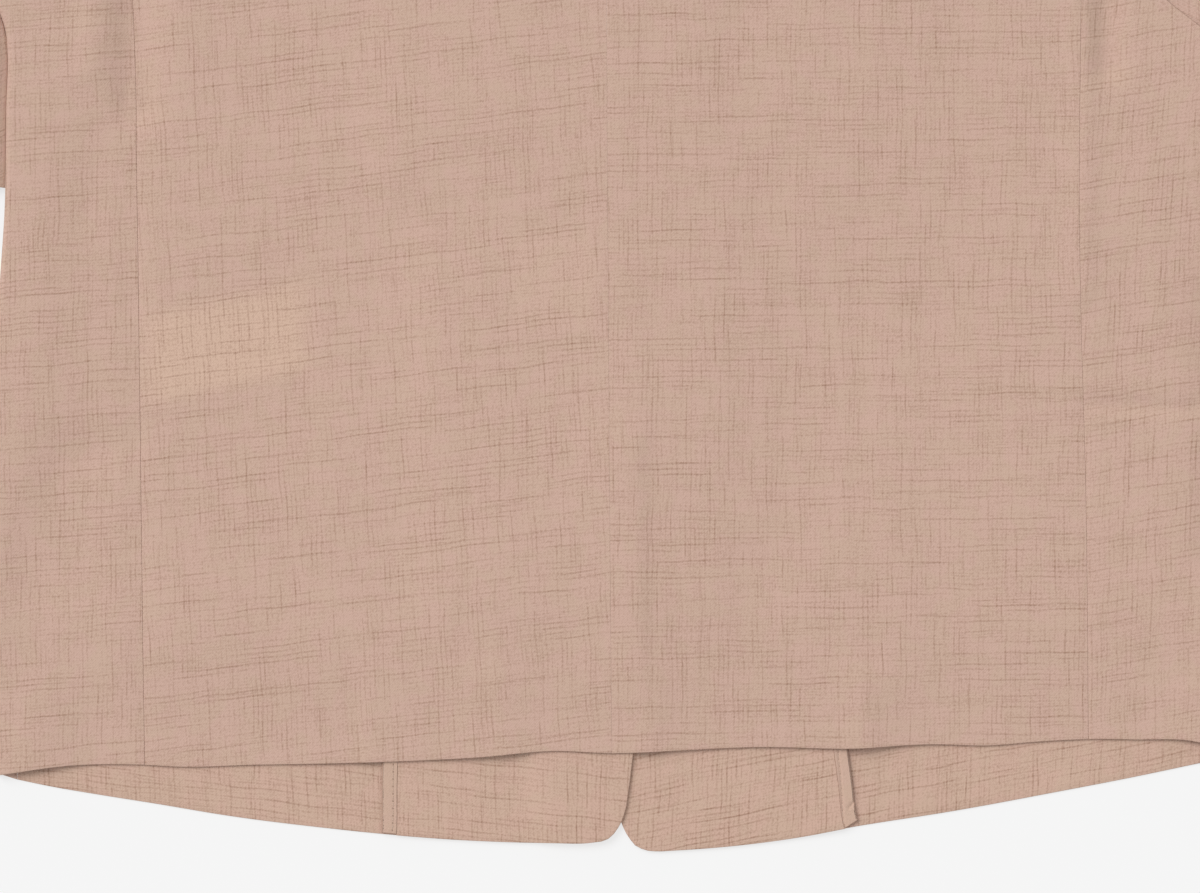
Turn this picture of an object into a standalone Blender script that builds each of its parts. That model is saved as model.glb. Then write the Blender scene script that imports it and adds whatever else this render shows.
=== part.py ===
"""Single breasted blazer, lying flat on its front with its back up.

Every panel is one closed wall of cloth. X runs across the garment (wearer's left is -X), Y runs from the
hem to the collar and Z is up from the surface it lies on. Plan sizes in the tables are millimetres from the
centre back at hem level. The panels are laid one on the other, from the fronts up to the back, and each
one's height is worked out from what lies under it.
"""

import bmesh
import bpy
import numpy as np
from mathutils import Matrix

MM = 0.001
CLOTH = 1.1 * MM  # one layer of cloth
DOUBLED = 1.6 * MM  # two layers sewn together: collar and lapels
BOUND = 1.4 * MM  # cloth inside its binding
GAP = 0.3 * MM  # between layers
SEAM_INSET = 0.25 * MM  # each panel's edge from the seam line
BUTTON_RADIUS, BUTTON_THICK = 10 * MM, 1.8 * MM
BUTTON_AT = (0.0, 158.0)
BINDING_WIDTH = 4.2
SIDE_SEAM_IN = 8.5 * MM  # side-front seam, from the side fold
BACK_LOFT, SIDE_LIFT, HEM_LOFT = 1.5 * MM, 1.4 * MM, 0.15 * MM
SLEEVE_HEIGHT, SLEEVE_SEAM_TOP = 4.0 * MM, 2.6 * MM  # over the surface, in the middle and at the inner seam
SLEEVE_CLEAR = 0.6 * MM  # between the sleeve's inner edge and the body's fold
CENTRE = (2.09, 282.32)  # middle of the laid garment

# Rows and columns of the walls
SEAM_ROWS, ARM_LOW, ARM_HIGH = 24, 4, 7
BACK_COLS, FRONT_COLS, FACING_COLS, BREAK_ROW = 12, 7, 5, 16
SLEEVE_LOW, SLEEVE_COLS, SLEEVE_STRIP = 5, 8, 2
FOLD_STEPS, SLEEVE_FOLD_STEPS = 5, 4

# Plan tables, columns (x, y) in mm, each from the hem upward or from left to right
BACK_HEM = [(-260.0, -10.4), (-228.8, -6.4), (-198.2, -6.2), (-183.0, -7.0), (-150.7, -6.2), (-123.5, -5.7),
            (-96.4, -4.9), (-56.9, -3.0), (-24.2, -0.2), (0.8, -1.1), (30.1, 0.0), (62.4, 1.4), (102.3, 0.8),
            (134.6, 2.5), (163.0, 2.1), (178.3, 3.4), (202.9, 4.7), (221.6, 4.7), (250.5, 3.6), (260.0, 0.6)]
CENTRE_BACK = [(0.8, -1.1), (0.2, 60.0), (-0.6, 170.0), (-1.3, 275.9), (-1.4, 400.0), (-0.6, 500.0), (0.0, 578.0)]
NECK_POINT = (72.0, 598.0)  # mirrored for the left
FRONT_NECK = (66.0, 598.0)


class Side:
    """The plan lines of one side of the garment, left (-1) or right (+1)."""

    def __init__(self, sign, fold, seam, arm_low, arm_high, front_arm, sleeve_out, sleeve_hem,
                 front_hem, front_edge, facing_share, facing_shift):
        self.sign = sign
        self.fold, self.seam = fold, seam
        self.arm_low, self.arm_high, self.front_arm = arm_low, arm_high, front_arm
        self.sleeve_out, self.sleeve_hem = sleeve_out, sleeve_hem
        self.front_hem, self.front_edge = front_hem, front_edge
        self.facing_share, self.facing_shift = facing_share, facing_shift


LEFT = Side(
    -1,
    fold=[(-260.0, -10.4), (-261.2, 60.0), (-261.4, 140.0), (-258.9, 195.3), (-256.7, 228.0), (-256.0, 272.0),
          (-255.5, 297.0), (-256.4, 305.6), (-258.9, 313.3), (-268.3, 333.2)],
    seam=[(-197.4, -6.2), (-198.7, 106.1), (-200.4, 233.5), (-201.6, 297.1), (-202.5, 318.4), (-205.5, 352.0),
          (-211.0, 384.0), (-217.0, 411.0)],
    arm_low=[(-268.3, 333.2), (-258.9, 350.2), (-237.7, 377.8), (-217.0, 411.0)],
    arm_high=[(-217.0, 411.0), (-207.0, 450.0), (-203.2, 500.0), (-203.8, 556.0)],
    front_arm=[(-268.3, 333.2), (-250.0, 350.0), (-216.0, 380.0), (-196.0, 425.0), (-193.0, 485.0), (-203.8, 556.0)],
    sleeve_out=[(-211.0, 567.0), (-270.0, 553.0), (-345.0, 512.0), (-408.0, 440.0), (-428.0, 350.0), (-412.0, 264.0)],
    sleeve_hem=[(-257.4, 238.2), (-300.0, 244.0), (-360.0, 255.0), (-412.0, 264.0)],
    front_hem=[(-254.0, -12.4), (-237.3, -16.1), (-215.6, -19.1), (-189.8, -22.9), (-161.3, -27.6), (-118.0, -33.1),
               (-89.1, -36.1), (-56.9, -38.4), (-24.2, -39.3), (-6.8, -39.0), (-1.4, -37.9), (1.6, -35.4)],
    front_edge=[(1.6, -35.4), (4.4, -31.2), (6.4, -25.9), (7.8, -17.5), (9.8, -1.3), (14.0, 45.0), (17.0, 100.0),
                (18.0, 160.0), (18.0, 215.0)],
    facing_share=0.6165,
    facing_shift=[(-38.0, -1.7), (-21.0, -5.2), (0.0, -5.4), (250.0, 0.0)],
)
RIGHT = Side(
    1,
    fold=[(260.0, 0.6), (261.5, 80.0), (262.0, 160.0), (261.0, 240.0), (259.8, 297.1)],
    seam=[(202.9, 4.7), (201.6, 106.1), (198.7, 233.5), (199.2, 290.0), (200.0, 325.0), (203.0, 350.0),
          (210.5, 375.0)],
    arm_low=[(259.8, 297.1), (250.5, 306.3), (235.6, 318.4), (219.5, 343.0), (210.5, 375.0)],
    arm_high=[(210.5, 375.0), (205.0, 420.0), (203.2, 485.0), (204.6, 556.0)],
    front_arm=[(259.8, 297.1), (243.0, 316.0), (214.0, 355.0), (196.0, 410.0), (193.0, 480.0), (204.6, 556.0)],
    sleeve_out=[(212.0, 567.0), (272.0, 552.0), (348.0, 508.0), (412.0, 430.0), (432.0, 335.0), (417.0, 238.0)],
    sleeve_hem=[(262.6, 212.0), (300.0, 218.0), (362.0, 229.0), (417.0, 238.0)],
    front_hem=[(254.0, -5.4), (221.6, -11.5), (188.9, -17.8), (145.6, -25.9), (106.5, -32.3), (80.7, -37.1),
               (26.7, -42.6), (19.5, -42.9), (14.4, -42.2), (10.6, -40.3)],
    front_edge=[(10.6, -40.3), (7.6, -36.5), (4.9, -31.0), (2.0, -20.0), (-4.0, 10.0), (-12.0, 60.0), (-17.0, 115.0),
                (-18.0, 165.0), (-18.0, 215.0)],
    facing_share=0.6015,
    facing_shift=[(-32.0, -0.4), (-17.0, 0.6), (0.0, 0.6), (250.0, 0.0)],
)

# Lapel width across the roll line at each height, both in mm
LAPEL_HEIGHTS = [216.0, 260.0, 320.0, 400.0, 470.0]
LAPEL_WIDTHS = [6.0, 24.0, 43.0, 60.0, 73.0]
LAPEL_STARTS = {1: 222.0, -1: 296.0}  # the left lapel shows only above the right front's edge
GORGE_Y, NOTCH, LAPEL_TIP, COLLAR_TIP = 519.5, (84.0, 488.0), (111.0, 470.0), (106.0, 505.0)
COLLAR_BACK = 43.0  # depth of the collar at the centre back
NECK_STAND = 5.6 * MM  # height of the hollow between the roll lines, which the collar holds open

# Soft troughs (depth below zero) and ridges of the back: x0, y0, x1, y1, half width, height, all mm
RELIEF = [
    (-208.0, 345.0, -212.0, 262.0, 8.0, -1.1),
    (-212.0, 262.0, -220.0, 225.0, 9.0, -0.5),
    (210.0, 345.0, 213.0, 278.0, 8.0, -0.9),
    (-220.0, 132.0, -246.0, 74.0, 11.0, -0.9),
    (-246.0, 50.0, -234.0, 14.0, 10.0, -0.7),
    (240.0, 158.0, 241.0, 80.0, 13.0, -0.8),
    (-1.0, 330.0, 0.5, 20.0, 12.0, 0.5),
    (24.0, 300.0, 25.0, 40.0, 11.0, -0.4),
]


def ramp(value, low, high):
    """0 below low, 1 above high, and a smooth step between."""
    t = np.clip((value - low) / (high - low), 0, 1)
    return t * t * (3 - 2 * t)


def line(points, count, smooth=True):
    """count points, evenly spaced, along a line through the points (mm), smooth or with straight runs."""
    p = np.array(points, float)
    s = np.concatenate([[0], np.cumsum(np.linalg.norm(np.diff(p, axis=0), axis=1))])
    fine = np.linspace(0, s[-1], 400)
    if smooth and len(p) > 2:
        slope = np.gradient(p, s, axis=0)
        i = np.clip(np.searchsorted(s, fine, side="right") - 1, 0, len(s) - 2)
        h = (s[i + 1] - s[i])[:, None]
        t = ((fine - s[i]) / h[:, 0])[:, None]
        curve = ((2 * t**3 - 3 * t**2 + 1) * p[i] + (t**3 - 2 * t**2 + t) * h * slope[i]
                 + (3 * t**2 - 2 * t**3) * p[i + 1] + (t**3 - t**2) * h * slope[i + 1])
    else:
        curve = np.stack([np.interp(fine, s, p[:, k]) for k in range(2)], axis=1)
    along = np.concatenate([[0], np.cumsum(np.linalg.norm(np.diff(curve, axis=0), axis=1))])
    at = np.linspace(0, along[-1], count)
    return np.stack([np.interp(at, along, curve[:, k]) for k in range(2)], axis=1) * MM


def chain(*lines):
    """Lines end to end, without their doubled end points."""
    return np.concatenate([lines[0]] + [part[1:] for part in lines[1:]])


def between(points, x_from, x_to, count):
    """The part of a left-to-right line that lies between two x values (mm)."""
    p = line(points, 400)
    if p[0, 0] > p[-1, 0]:
        p = p[::-1]
    x = np.linspace(x_from, x_to, count) * MM
    return np.stack([x, np.interp(x, p[:, 0], p[:, 1])], axis=1)


def patch(south, north, west, east, shares=None):
    """A Coons patch (rows, columns, 2) between four edges; west and east run from south to north.

    shares are the places of the columns across the patch, from 0 to 1; they are even when left out.
    """
    u = (np.linspace(0, 1, len(south)) if shares is None else shares)[None, :, None]
    v = np.linspace(0, 1, len(west))[:, None, None]
    ruled = (1 - v) * south[None] + v * north[None] + (1 - u) * west[:, None] + u * east[:, None]
    corners = ((1 - u) * (1 - v) * south[0] + u * (1 - v) * south[-1]
               + (1 - u) * v * north[0] + u * v * north[-1])
    return ruled - corners


def inset(plan, edges="snwe", amount=SEAM_INSET):
    """The plan grid with the named edges (south, north, west, east) moved in by amount."""
    p = plan.copy()
    for name, edge, inner in (("s", 0, 1), ("n", -1, -2)):
        if name in edges:
            step = plan[inner] - plan[edge]
            p[edge] += amount * step / np.linalg.norm(step, axis=-1, keepdims=True)
    for name, edge, inner in (("w", 0, 1), ("e", -1, -2)):
        if name in edges:
            step = p[:, inner] - p[:, edge]
            p[:, edge] += amount * step / np.linalg.norm(step, axis=-1, keepdims=True)
    return p


class Pile:
    """Heights of what has been laid down so far, on a 2 mm raster, as tops plus the gap to the next layer."""

    STEP = 2 * MM

    def __init__(self):
        self.x = np.arange(-450, 451, 2) * MM
        self.y = np.arange(-70, 641, 2) * MM
        self.grid_x, self.grid_y = np.meshgrid(self.x, self.y)
        self.top = np.zeros_like(self.grid_x)

    def inside(self, outline):
        """Which raster points lie inside a closed outline, by counting crossings."""
        hit = np.zeros(self.top.shape, bool)
        for (x0, y0), (x1, y1) in zip(outline, np.roll(outline, -1, axis=0)):
            if y0 == y1:
                continue
            spans = (self.grid_y >= min(y0, y1)) & (self.grid_y < max(y0, y1))
            hit ^= spans & (self.grid_x < x0 + (self.grid_y - y0) * (x1 - x0) / (y1 - y0))
        return hit

    def put(self, outline, top):
        """Adds what lies inside an outline, up to a height."""
        here = self.inside(outline)
        self.top[here] = np.maximum(self.top, top)[here]

    def lay(self, plan, height, thickness):
        """Adds a panel: plan grid (rows, columns, 2), its underside as a function of x and y, and its wall."""
        rim = np.concatenate([plan[0], plan[1:, -1], plan[-1, -2::-1], plan[-2:0:-1, 0]])
        self.put(rim, height(self.grid_x, self.grid_y) + thickness + GAP)

    def draped(self, reach=28 * MM, blur=6 * MM):
        """The height of a cloth laid on the pile: it stays above all that lies within reach less blur."""
        field = self.top.copy()
        for axis in (0, 1):
            source = field.copy()
            for shift in range(1, round(reach / self.STEP) + 1):
                for way in (shift, -shift):
                    moved = np.roll(source, way, axis=axis)
                    field = np.maximum(field, moved)
        cells = round(blur / self.STEP)
        for axis in (0, 1):
            field = sum(np.roll(field, k, axis=axis) for k in range(-cells, cells + 1)) / (2 * cells + 1)

        def height(x, y):
            i = np.clip((x - self.x[0]) / self.STEP, 0, len(self.x) - 1.001)
            j = np.clip((y - self.y[0]) / self.STEP, 0, len(self.y) - 1.001)
            a, b = i.astype(int), j.astype(int)
            s, t = i - a, j - b
            return ((1 - s) * (1 - t) * field[b, a] + s * (1 - t) * field[b, a + 1]
                    + (1 - s) * t * field[b + 1, a] + s * t * field[b + 1, a + 1])

        return height


def relief(x, y):
    """The back's soft troughs and ridges, each fading out from its line like a bell."""
    total = np.zeros_like(x)
    for x0, y0, x1, y1, half, depth in np.array(RELIEF) * MM:
        dx, dy = x1 - x0, y1 - y0
        t = np.clip(((x - x0) * dx + (y - y0) * dy) / (dx * dx + dy * dy), 0, 1)
        away = np.hypot(x - x0 - t * dx, y - y0 - t * dy) / half
        total = total + depth * np.exp(-away * away)
    return total


def material(name, colour, roughness):
    """A plain Principled material."""
    made = bpy.data.materials.new(name)
    made.use_nodes = True
    shader = made.node_tree.nodes["Principled BSDF"]
    shader.inputs["Base Color"].default_value = (*colour, 1)
    shader.inputs["Roughness"].default_value = roughness
    return made


def wall(name, outer, normal, thickness, colour):
    """A closed wall between a grid of outer points and the same grid moved in along its normals."""
    inner = outer - normal * thickness
    rows, cols = outer.shape[:2]
    count = rows * cols
    index = np.arange(count).reshape(rows, cols)
    a, b, c, d = index[:-1, :-1], index[:-1, 1:], index[1:, 1:], index[1:, :-1]
    faces = [np.stack([a, b, c, d], -1).reshape(-1, 4), np.stack([a, d, c, b], -1).reshape(-1, 4) + count]
    for rim in (index[0, ::-1], index[:, 0], index[-1], index[::-1, -1]):
        faces.append(np.stack([rim[:-1], rim[1:], rim[1:] + count, rim[:-1] + count], -1))
    points = np.concatenate([outer.reshape(-1, 3), inner.reshape(-1, 3)])
    quads = np.concatenate(faces)
    p = points[quads]
    volume = np.einsum("ij,ij->i", p[:, 0], np.cross(p[:, 1], p[:, 2]) + np.cross(p[:, 2], p[:, 3])).sum()
    if volume < 0:
        quads = quads[:, ::-1]
    mesh = bpy.data.meshes.new(name)
    mesh.from_pydata(points.tolist(), [], quads.tolist())
    mesh.materials.append(material(name, colour, 0.85))
    mesh.shade_smooth()
    mesh.set_sharp_from_angle(angle=0.7)
    made = bpy.data.objects.new(name, mesh)
    bpy.context.scene.collection.objects.link(made)
    return made


def flat_wall(name, plan, height, thickness, colour):
    """A wall whose underside has the given height over its plan grid."""
    z = height(plan[..., 0], plan[..., 1]) + thickness
    up = np.zeros((*plan.shape[:2], 3))
    up[..., 2] = 1
    return wall(name, np.dstack([plan, z]), up, thickness, colour)


def outward(edge, away_from):
    """Unit plan normals of a line, pointing away from a plan grid's middle."""
    along = np.gradient(edge, axis=0)
    n = np.stack([along[:, 1], -along[:, 0]], axis=1)
    n /= np.linalg.norm(n, axis=1, keepdims=True)
    return n if ((edge - away_from) * n).sum() > 0 else -n


def fold(edge, n, top, steps=FOLD_STEPS):
    """Outer points and normals of a half-round fold, from its top to the surface below; edge is its extreme."""
    radius = (top / 2)[:, None, None]
    angle = np.linspace(np.pi / 2, -np.pi / 2, steps + 1)[None, :, None]
    rise = np.broadcast_to(np.sin(angle), (len(n), steps + 1, 1))
    normal = np.concatenate([n[:, None] * np.cos(angle), rise], -1)
    centre = np.concatenate([edge[:, None] - n[:, None] * radius, radius], -1)
    return centre + normal * radius, normal


def layer(plan, top, up):
    """Outer points and normals of a flat layer that faces up (1) or down (-1)."""
    normal = np.zeros((*plan.shape[:2], 3))
    normal[..., 2] = up
    return np.dstack([plan, np.broadcast_to(top, plan.shape[:2])]), normal


def flat_on_floor(x, y):
    """The height of what lies on the surface itself."""
    return np.zeros_like(x)


def roll_x(sign, y):
    """X of a front's roll line (mm) at height y (mm); the two lines cross above the button."""
    return -sign * 18 + sign * (18 + FRONT_NECK[0]) * (y - 215) / (FRONT_NECK[1] - 215)


def lapel_plan(sign):
    """Plan of a turned lapel, from the break up to the gorge, with the roll line on its inner side."""
    rows = 15
    start = LAPEL_STARTS[sign]
    inner = line([(roll_x(sign, y), y) for y in (start, GORGE_Y)], rows)
    heights = np.linspace(start, LAPEL_HEIGHTS[-1], 6)
    widths = np.interp(heights, LAPEL_HEIGHTS, LAPEL_WIDTHS)
    outer = line([(roll_x(sign, y) + sign * w, y) for y, w in zip(heights, widths)], rows)
    top = line([(roll_x(sign, GORGE_Y), GORGE_Y), (sign * NOTCH[0], NOTCH[1]), (sign * LAPEL_TIP[0], LAPEL_TIP[1])],
               5, smooth=False)
    outer[-1] = top[-1]
    return patch(line([tuple(inner[0] / MM), tuple(outer[0] / MM)], 5), top, inner, outer)


def collar_end_plan(sign):
    """Plan of the collar under a front, from the shoulder down to its end at the notch."""
    shoulder = line([(sign * 60.0, 603.0), (sign * 112.0, 588.5)], 5)
    end = line([(roll_x(sign, GORGE_Y + 1.5), GORGE_Y + 1.5), (sign * NOTCH[0], NOTCH[1] + 2.5),
                (sign * COLLAR_TIP[0], COLLAR_TIP[1])], 5, smooth=False)
    inner = line([tuple(shoulder[0] / MM), tuple(end[0] / MM)], 6)
    outer = line([tuple(shoulder[-1] / MM), (sign * 112.0, 545.0), tuple(end[-1] / MM)], 6)
    return patch(shoulder, end, inner, outer)


def collar_back_plan():
    """Plan of the collar over the back, from the left shoulder to the right one."""
    left = line([(-60.0, 603.0), (-112.0, 588.5)], 5)
    right = line([(60.0, 603.0), (112.0, 588.5)], 5)
    roll = line([(-60.0, 603.0), (-35.0, 589.0), (0.0, 583.0), (35.0, 589.0), (60.0, 603.0)], 13)
    edge = line([(-112.0, 588.5), (-84.0, 556.0), (0.0, 583.0 - COLLAR_BACK), (84.0, 556.0), (112.0, 588.5)], 13)
    return patch(left, right, roll, edge)


def fold_lines(side, top_height):
    """The side fold's extreme line, its outward normals, its height, and the line where it starts to turn."""
    edge = line(side.fold, SEAM_ROWS + 1)
    n = outward(edge, np.zeros(2))
    top = top_height(edge[:, 0] - n[:, 0] * 2.5 * MM, edge[:, 1] - n[:, 1] * 2.5 * MM) + CLOTH
    return edge, n, top, edge - n * (top / 2)[:, None]


def front_arm_line(side):
    """The front's armhole seam, from the side seam to the shoulder."""
    edge = line(side.fold, SEAM_ROWS + 1)
    start = (edge - outward(edge, np.zeros(2)) * SIDE_SEAM_IN)[-1] / MM
    return line([tuple(start), *side.front_arm[1:]], ARM_LOW + ARM_HIGH + 1)


def front_plan(side):
    """Plan of a front, between its side seam and armhole, hem, front edge with roll line, and shoulder.

    The columns FRONT_COLS and FRONT_COLS + 1 carry the facing's bound edge, which facing_shift, columns
    (y, shift in x) in mm, moves sideways, and the columns beside it by less.
    """
    edge = line(side.fold, SEAM_ROWS + 1)
    seam = edge - outward(edge, np.zeros(2)) * SIDE_SEAM_IN
    west = chain(seam, front_arm_line(side))
    roll = [(roll_x(side.sign, y), y) for y in (215.0, 598.0)]
    east = chain(line(side.front_edge, BREAK_ROW + 1), line(roll, len(west) - BREAK_ROW))
    share = side.facing_share
    shares = np.concatenate([np.linspace(0, share, FRONT_COLS + 1),
                             np.linspace(share + BINDING_WIDTH / 255, 1, FACING_COLS + 1)])
    pick = np.round(shares * 399).astype(int)
    hem = line([tuple(seam[0] / MM), *side.front_hem[1:]], 400)[pick]
    shoulder = line([side.front_arm[-1], roll[-1]], 400)[pick]
    plan = patch(hem, shoulder, west, east, shares)
    heights, shifts = np.array(side.facing_shift).T * MM
    near = np.minimum(shares / share, (1 - shares) / (1 - share))
    plan[..., 0] += np.interp(plan[..., 1], heights, shifts) * near
    return plan


def build_front(side, pile, colours):
    """Lays a front and the facing and binding that lie on it."""
    name = "left" if side.sign < 0 else "right"
    height = pile.draped()
    plan = front_plan(side)
    flat_wall("front_" + name, inset(plan, "wn"), height, CLOTH, colours["inside"])
    pile.lay(plan, height, CLOTH)

    def inside(x, y):
        return height(x, y) + CLOTH + GAP

    bound = plan[:, FRONT_COLS:FRONT_COLS + 2]
    flat_wall("binding_" + name, inset(bound, "e"), inside, BOUND, colours["binding"])
    facing = plan[:, FRONT_COLS + 1:]
    flat_wall("facing_" + name, inset(facing, "w"), inside, CLOTH, colours["inside"])
    pile.lay(bound, inside, BOUND)
    pile.lay(facing, inside, CLOTH)


def build_side(side, top_height, colour):
    """Lays a side panel: its top, the side fold and the strip that turns under to the side seam."""
    edge, n, top, flat = fold_lines(side, top_height)
    edge[-1] += (edge[-2] - edge[-1]) * 0.03
    north = line(side.arm_low, ARM_LOW + 1)[::-1].copy()
    north[-1] = flat[-1]
    seam = line(side.seam, SEAM_ROWS + 1)
    south = between(BACK_HEM, seam[0, 0] / MM, flat[0, 0] / MM, ARM_LOW + 1)
    south[0], south[-1] = seam[0], flat[0]
    plan = inset(patch(south, north, seam, flat), "wn")
    points, normals = layer(plan, top_height(plan[..., 0], plan[..., 1]) + CLOTH, 1)
    points[:, -1, 2] = top
    arc, arc_n = fold(edge, n, top)
    run = np.linspace(0, 1, 3)[None, 1:, None]
    start, end = edge - n * (top / 2)[:, None], edge - n * (SIDE_SEAM_IN - 2 * SEAM_INSET)
    under, under_n = layer(start[:, None] * (1 - run) + end[:, None] * run, 0.0, -1)
    grid = np.concatenate([points, arc[:, 1:], under], 1)
    normal = np.concatenate([normals, arc_n[:, 1:], under_n], 1)
    wall("side_" + ("left" if side.sign < 0 else "right"), grid, normal, CLOTH, colour)


def back_plan(side):
    """Plan of a back panel, from its side-back seam and armhole to the centre back."""
    s = side.sign
    west = chain(line(side.seam, SEAM_ROWS + 1), line(side.arm_high, ARM_HIGH + 1))
    east = line(CENTRE_BACK, len(west))
    south = between(BACK_HEM, west[0, 0] / MM, east[0, 0] / MM, BACK_COLS + 1)
    south[0], south[-1] = west[0], east[0]
    neck = [(s * NECK_POINT[0], NECK_POINT[1]), (s * 48.0, 585.5), (s * 22.0, 579.3), (0.0, 578.0)]
    north = chain(line([side.arm_high[-1], neck[0]], BACK_COLS - 4), line(neck, 6))
    return patch(south, north, west, east)


def build_sleeve(side, top_height, colour):
    """Lays a sleeve, a flat tube beside the body: the top sleeve round both folds, the under sleeve between."""
    name = "left" if side.sign < 0 else "right"
    body = line(side.fold, 400)
    body = (body + outward(body, np.zeros(2)) * SLEEVE_CLEAR)[::-1] / MM
    body = body[body[:, 1] >= side.sleeve_hem[0][1]]
    inner = line([tuple(p) for p in body[::13]] + [tuple(body[-1])], SLEEVE_LOW + 1)
    inner[0, 1] += SLEEVE_CLEAR
    arm = chain(line(side.arm_low, ARM_LOW + 1), line(side.arm_high, ARM_HIGH + 1))[::-1]
    upper_west = np.concatenate([arm[:-1], (arm[-2:-1] + inner[:1]) / 2, inner])
    lower_west = np.concatenate([front_arm_line(side)[::-1], inner])
    rows = len(lower_west)
    outer = line(side.sleeve_out, rows)
    n = outward(outer, inner.mean(axis=0))
    flat = outer - n * SLEEVE_HEIGHT / 2
    hem = line([tuple(inner[-1] / MM), *side.sleeve_hem[1:-1], tuple(flat[-1] / MM)], SLEEVE_COLS + 1)

    def sleeve_plan(west):
        start = line([tuple(west[0] / MM), tuple(flat[0] / MM)], SLEEVE_COLS + 1)
        return inset(patch(start, hem, west, flat), "w")

    upper, lower = sleeve_plan(upper_west), sleeve_plan(lower_west)
    at_edge = np.full(rows, SLEEVE_SEAM_TOP)
    at_edge[:len(arm)] = np.clip(top_height(arm[:, 0], arm[:, 1]) + CLOTH - 0.5 * MM, 3.4 * MM, 5 * MM)
    in_from_edge = ramp(np.linalg.norm(upper - upper[:, :1], axis=-1), 0, 30 * MM)
    top = at_edge[:, None] * (1 - in_from_edge) + SLEEVE_HEIGHT * in_from_edge
    top[:, -1] = SLEEVE_HEIGHT
    cut = SLEEVE_COLS - SLEEVE_STRIP
    up, up_n = layer(upper, top, 1)
    under, under_n = layer(inset(upper[:, :cut + 1], "e"), top[:, :cut + 1], 1)
    wall(f"sleeve_{name}_under", under, under_n, CLOTH, colour)
    strip, low = layer(inset(upper[:, cut:], "w"), top[:, cut:], 1), layer(lower, 0.0, -1)
    arc = fold(outer, n, np.full(rows, SLEEVE_HEIGHT), SLEEVE_FOLD_STEPS)
    grid, normal = (np.concatenate([low[k], arc[k][:, -2:0:-1], strip[k][:, ::-1]], 1) for k in (0, 1))
    wall(f"sleeve_{name}_top", grid, normal, CLOTH, colour)


def build_collar(pile, colour):
    """Lays the collar: over the back, round both shoulders and along the fronts to the notches."""
    back = collar_back_plan()
    height = pile.draped(reach=18 * MM, blur=4 * MM)
    over, over_n = layer(back, height(back[..., 0], back[..., 1]) + DOUBLED, 1)
    rows, normals = [over], [over_n]
    for sign, at in ((-1, 0), (1, -1)):
        end, end_n = layer(collar_end_plan(sign), 0.0, -1)
        shoulder = back[at]
        n = outward(shoulder, np.zeros(2))
        top = over[at, :, 2]
        arc, arc_n = fold(shoulder + n * top[:, None] / 2, n, top)
        turn = np.concatenate([arc.swapaxes(0, 1)[1:-1], end])
        turn_n = np.concatenate([arc_n.swapaxes(0, 1)[1:-1], end_n])
        if sign < 0:
            rows.insert(0, turn[::-1])
            normals.insert(0, turn_n[::-1])
        else:
            rows.append(turn)
            normals.append(turn_n)
    wall("collar", np.concatenate(rows), np.concatenate(normals), DOUBLED, colour)


def build_button(pile):
    """Puts the button under the right front: a flat disc with a rounded rim."""
    x, y = BUTTON_AT[0] * MM, BUTTON_AT[1] * MM
    mesh = bpy.data.meshes.new("button")
    shape = bmesh.new()
    bmesh.ops.create_cone(shape, cap_ends=True, segments=32, radius1=BUTTON_RADIUS, radius2=BUTTON_RADIUS,
                          depth=BUTTON_THICK)
    rims = [e for e in shape.edges if abs(e.verts[0].co.z - e.verts[1].co.z) < 1e-6]
    bmesh.ops.bevel(shape, geom=rims, offset=0.5 * MM, segments=2, affect="EDGES")
    bmesh.ops.translate(shape, verts=shape.verts, vec=(x, y, BUTTON_THICK / 2))
    shape.to_mesh(mesh)
    shape.free()
    mesh.shade_smooth()
    mesh.set_sharp_from_angle(angle=0.7)
    mesh.materials.append(material("button", (0.36, 0.24, 0.18), 0.35))
    bpy.context.scene.collection.objects.link(bpy.data.objects.new("button", mesh))
    turn = np.linspace(0, 2 * np.pi, 33)[:-1]
    rim = np.stack([x + BUTTON_RADIUS * np.cos(turn), y + BUTTON_RADIUS * np.sin(turn)], 1)
    pile.put(rim, BUTTON_THICK + GAP)


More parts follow.
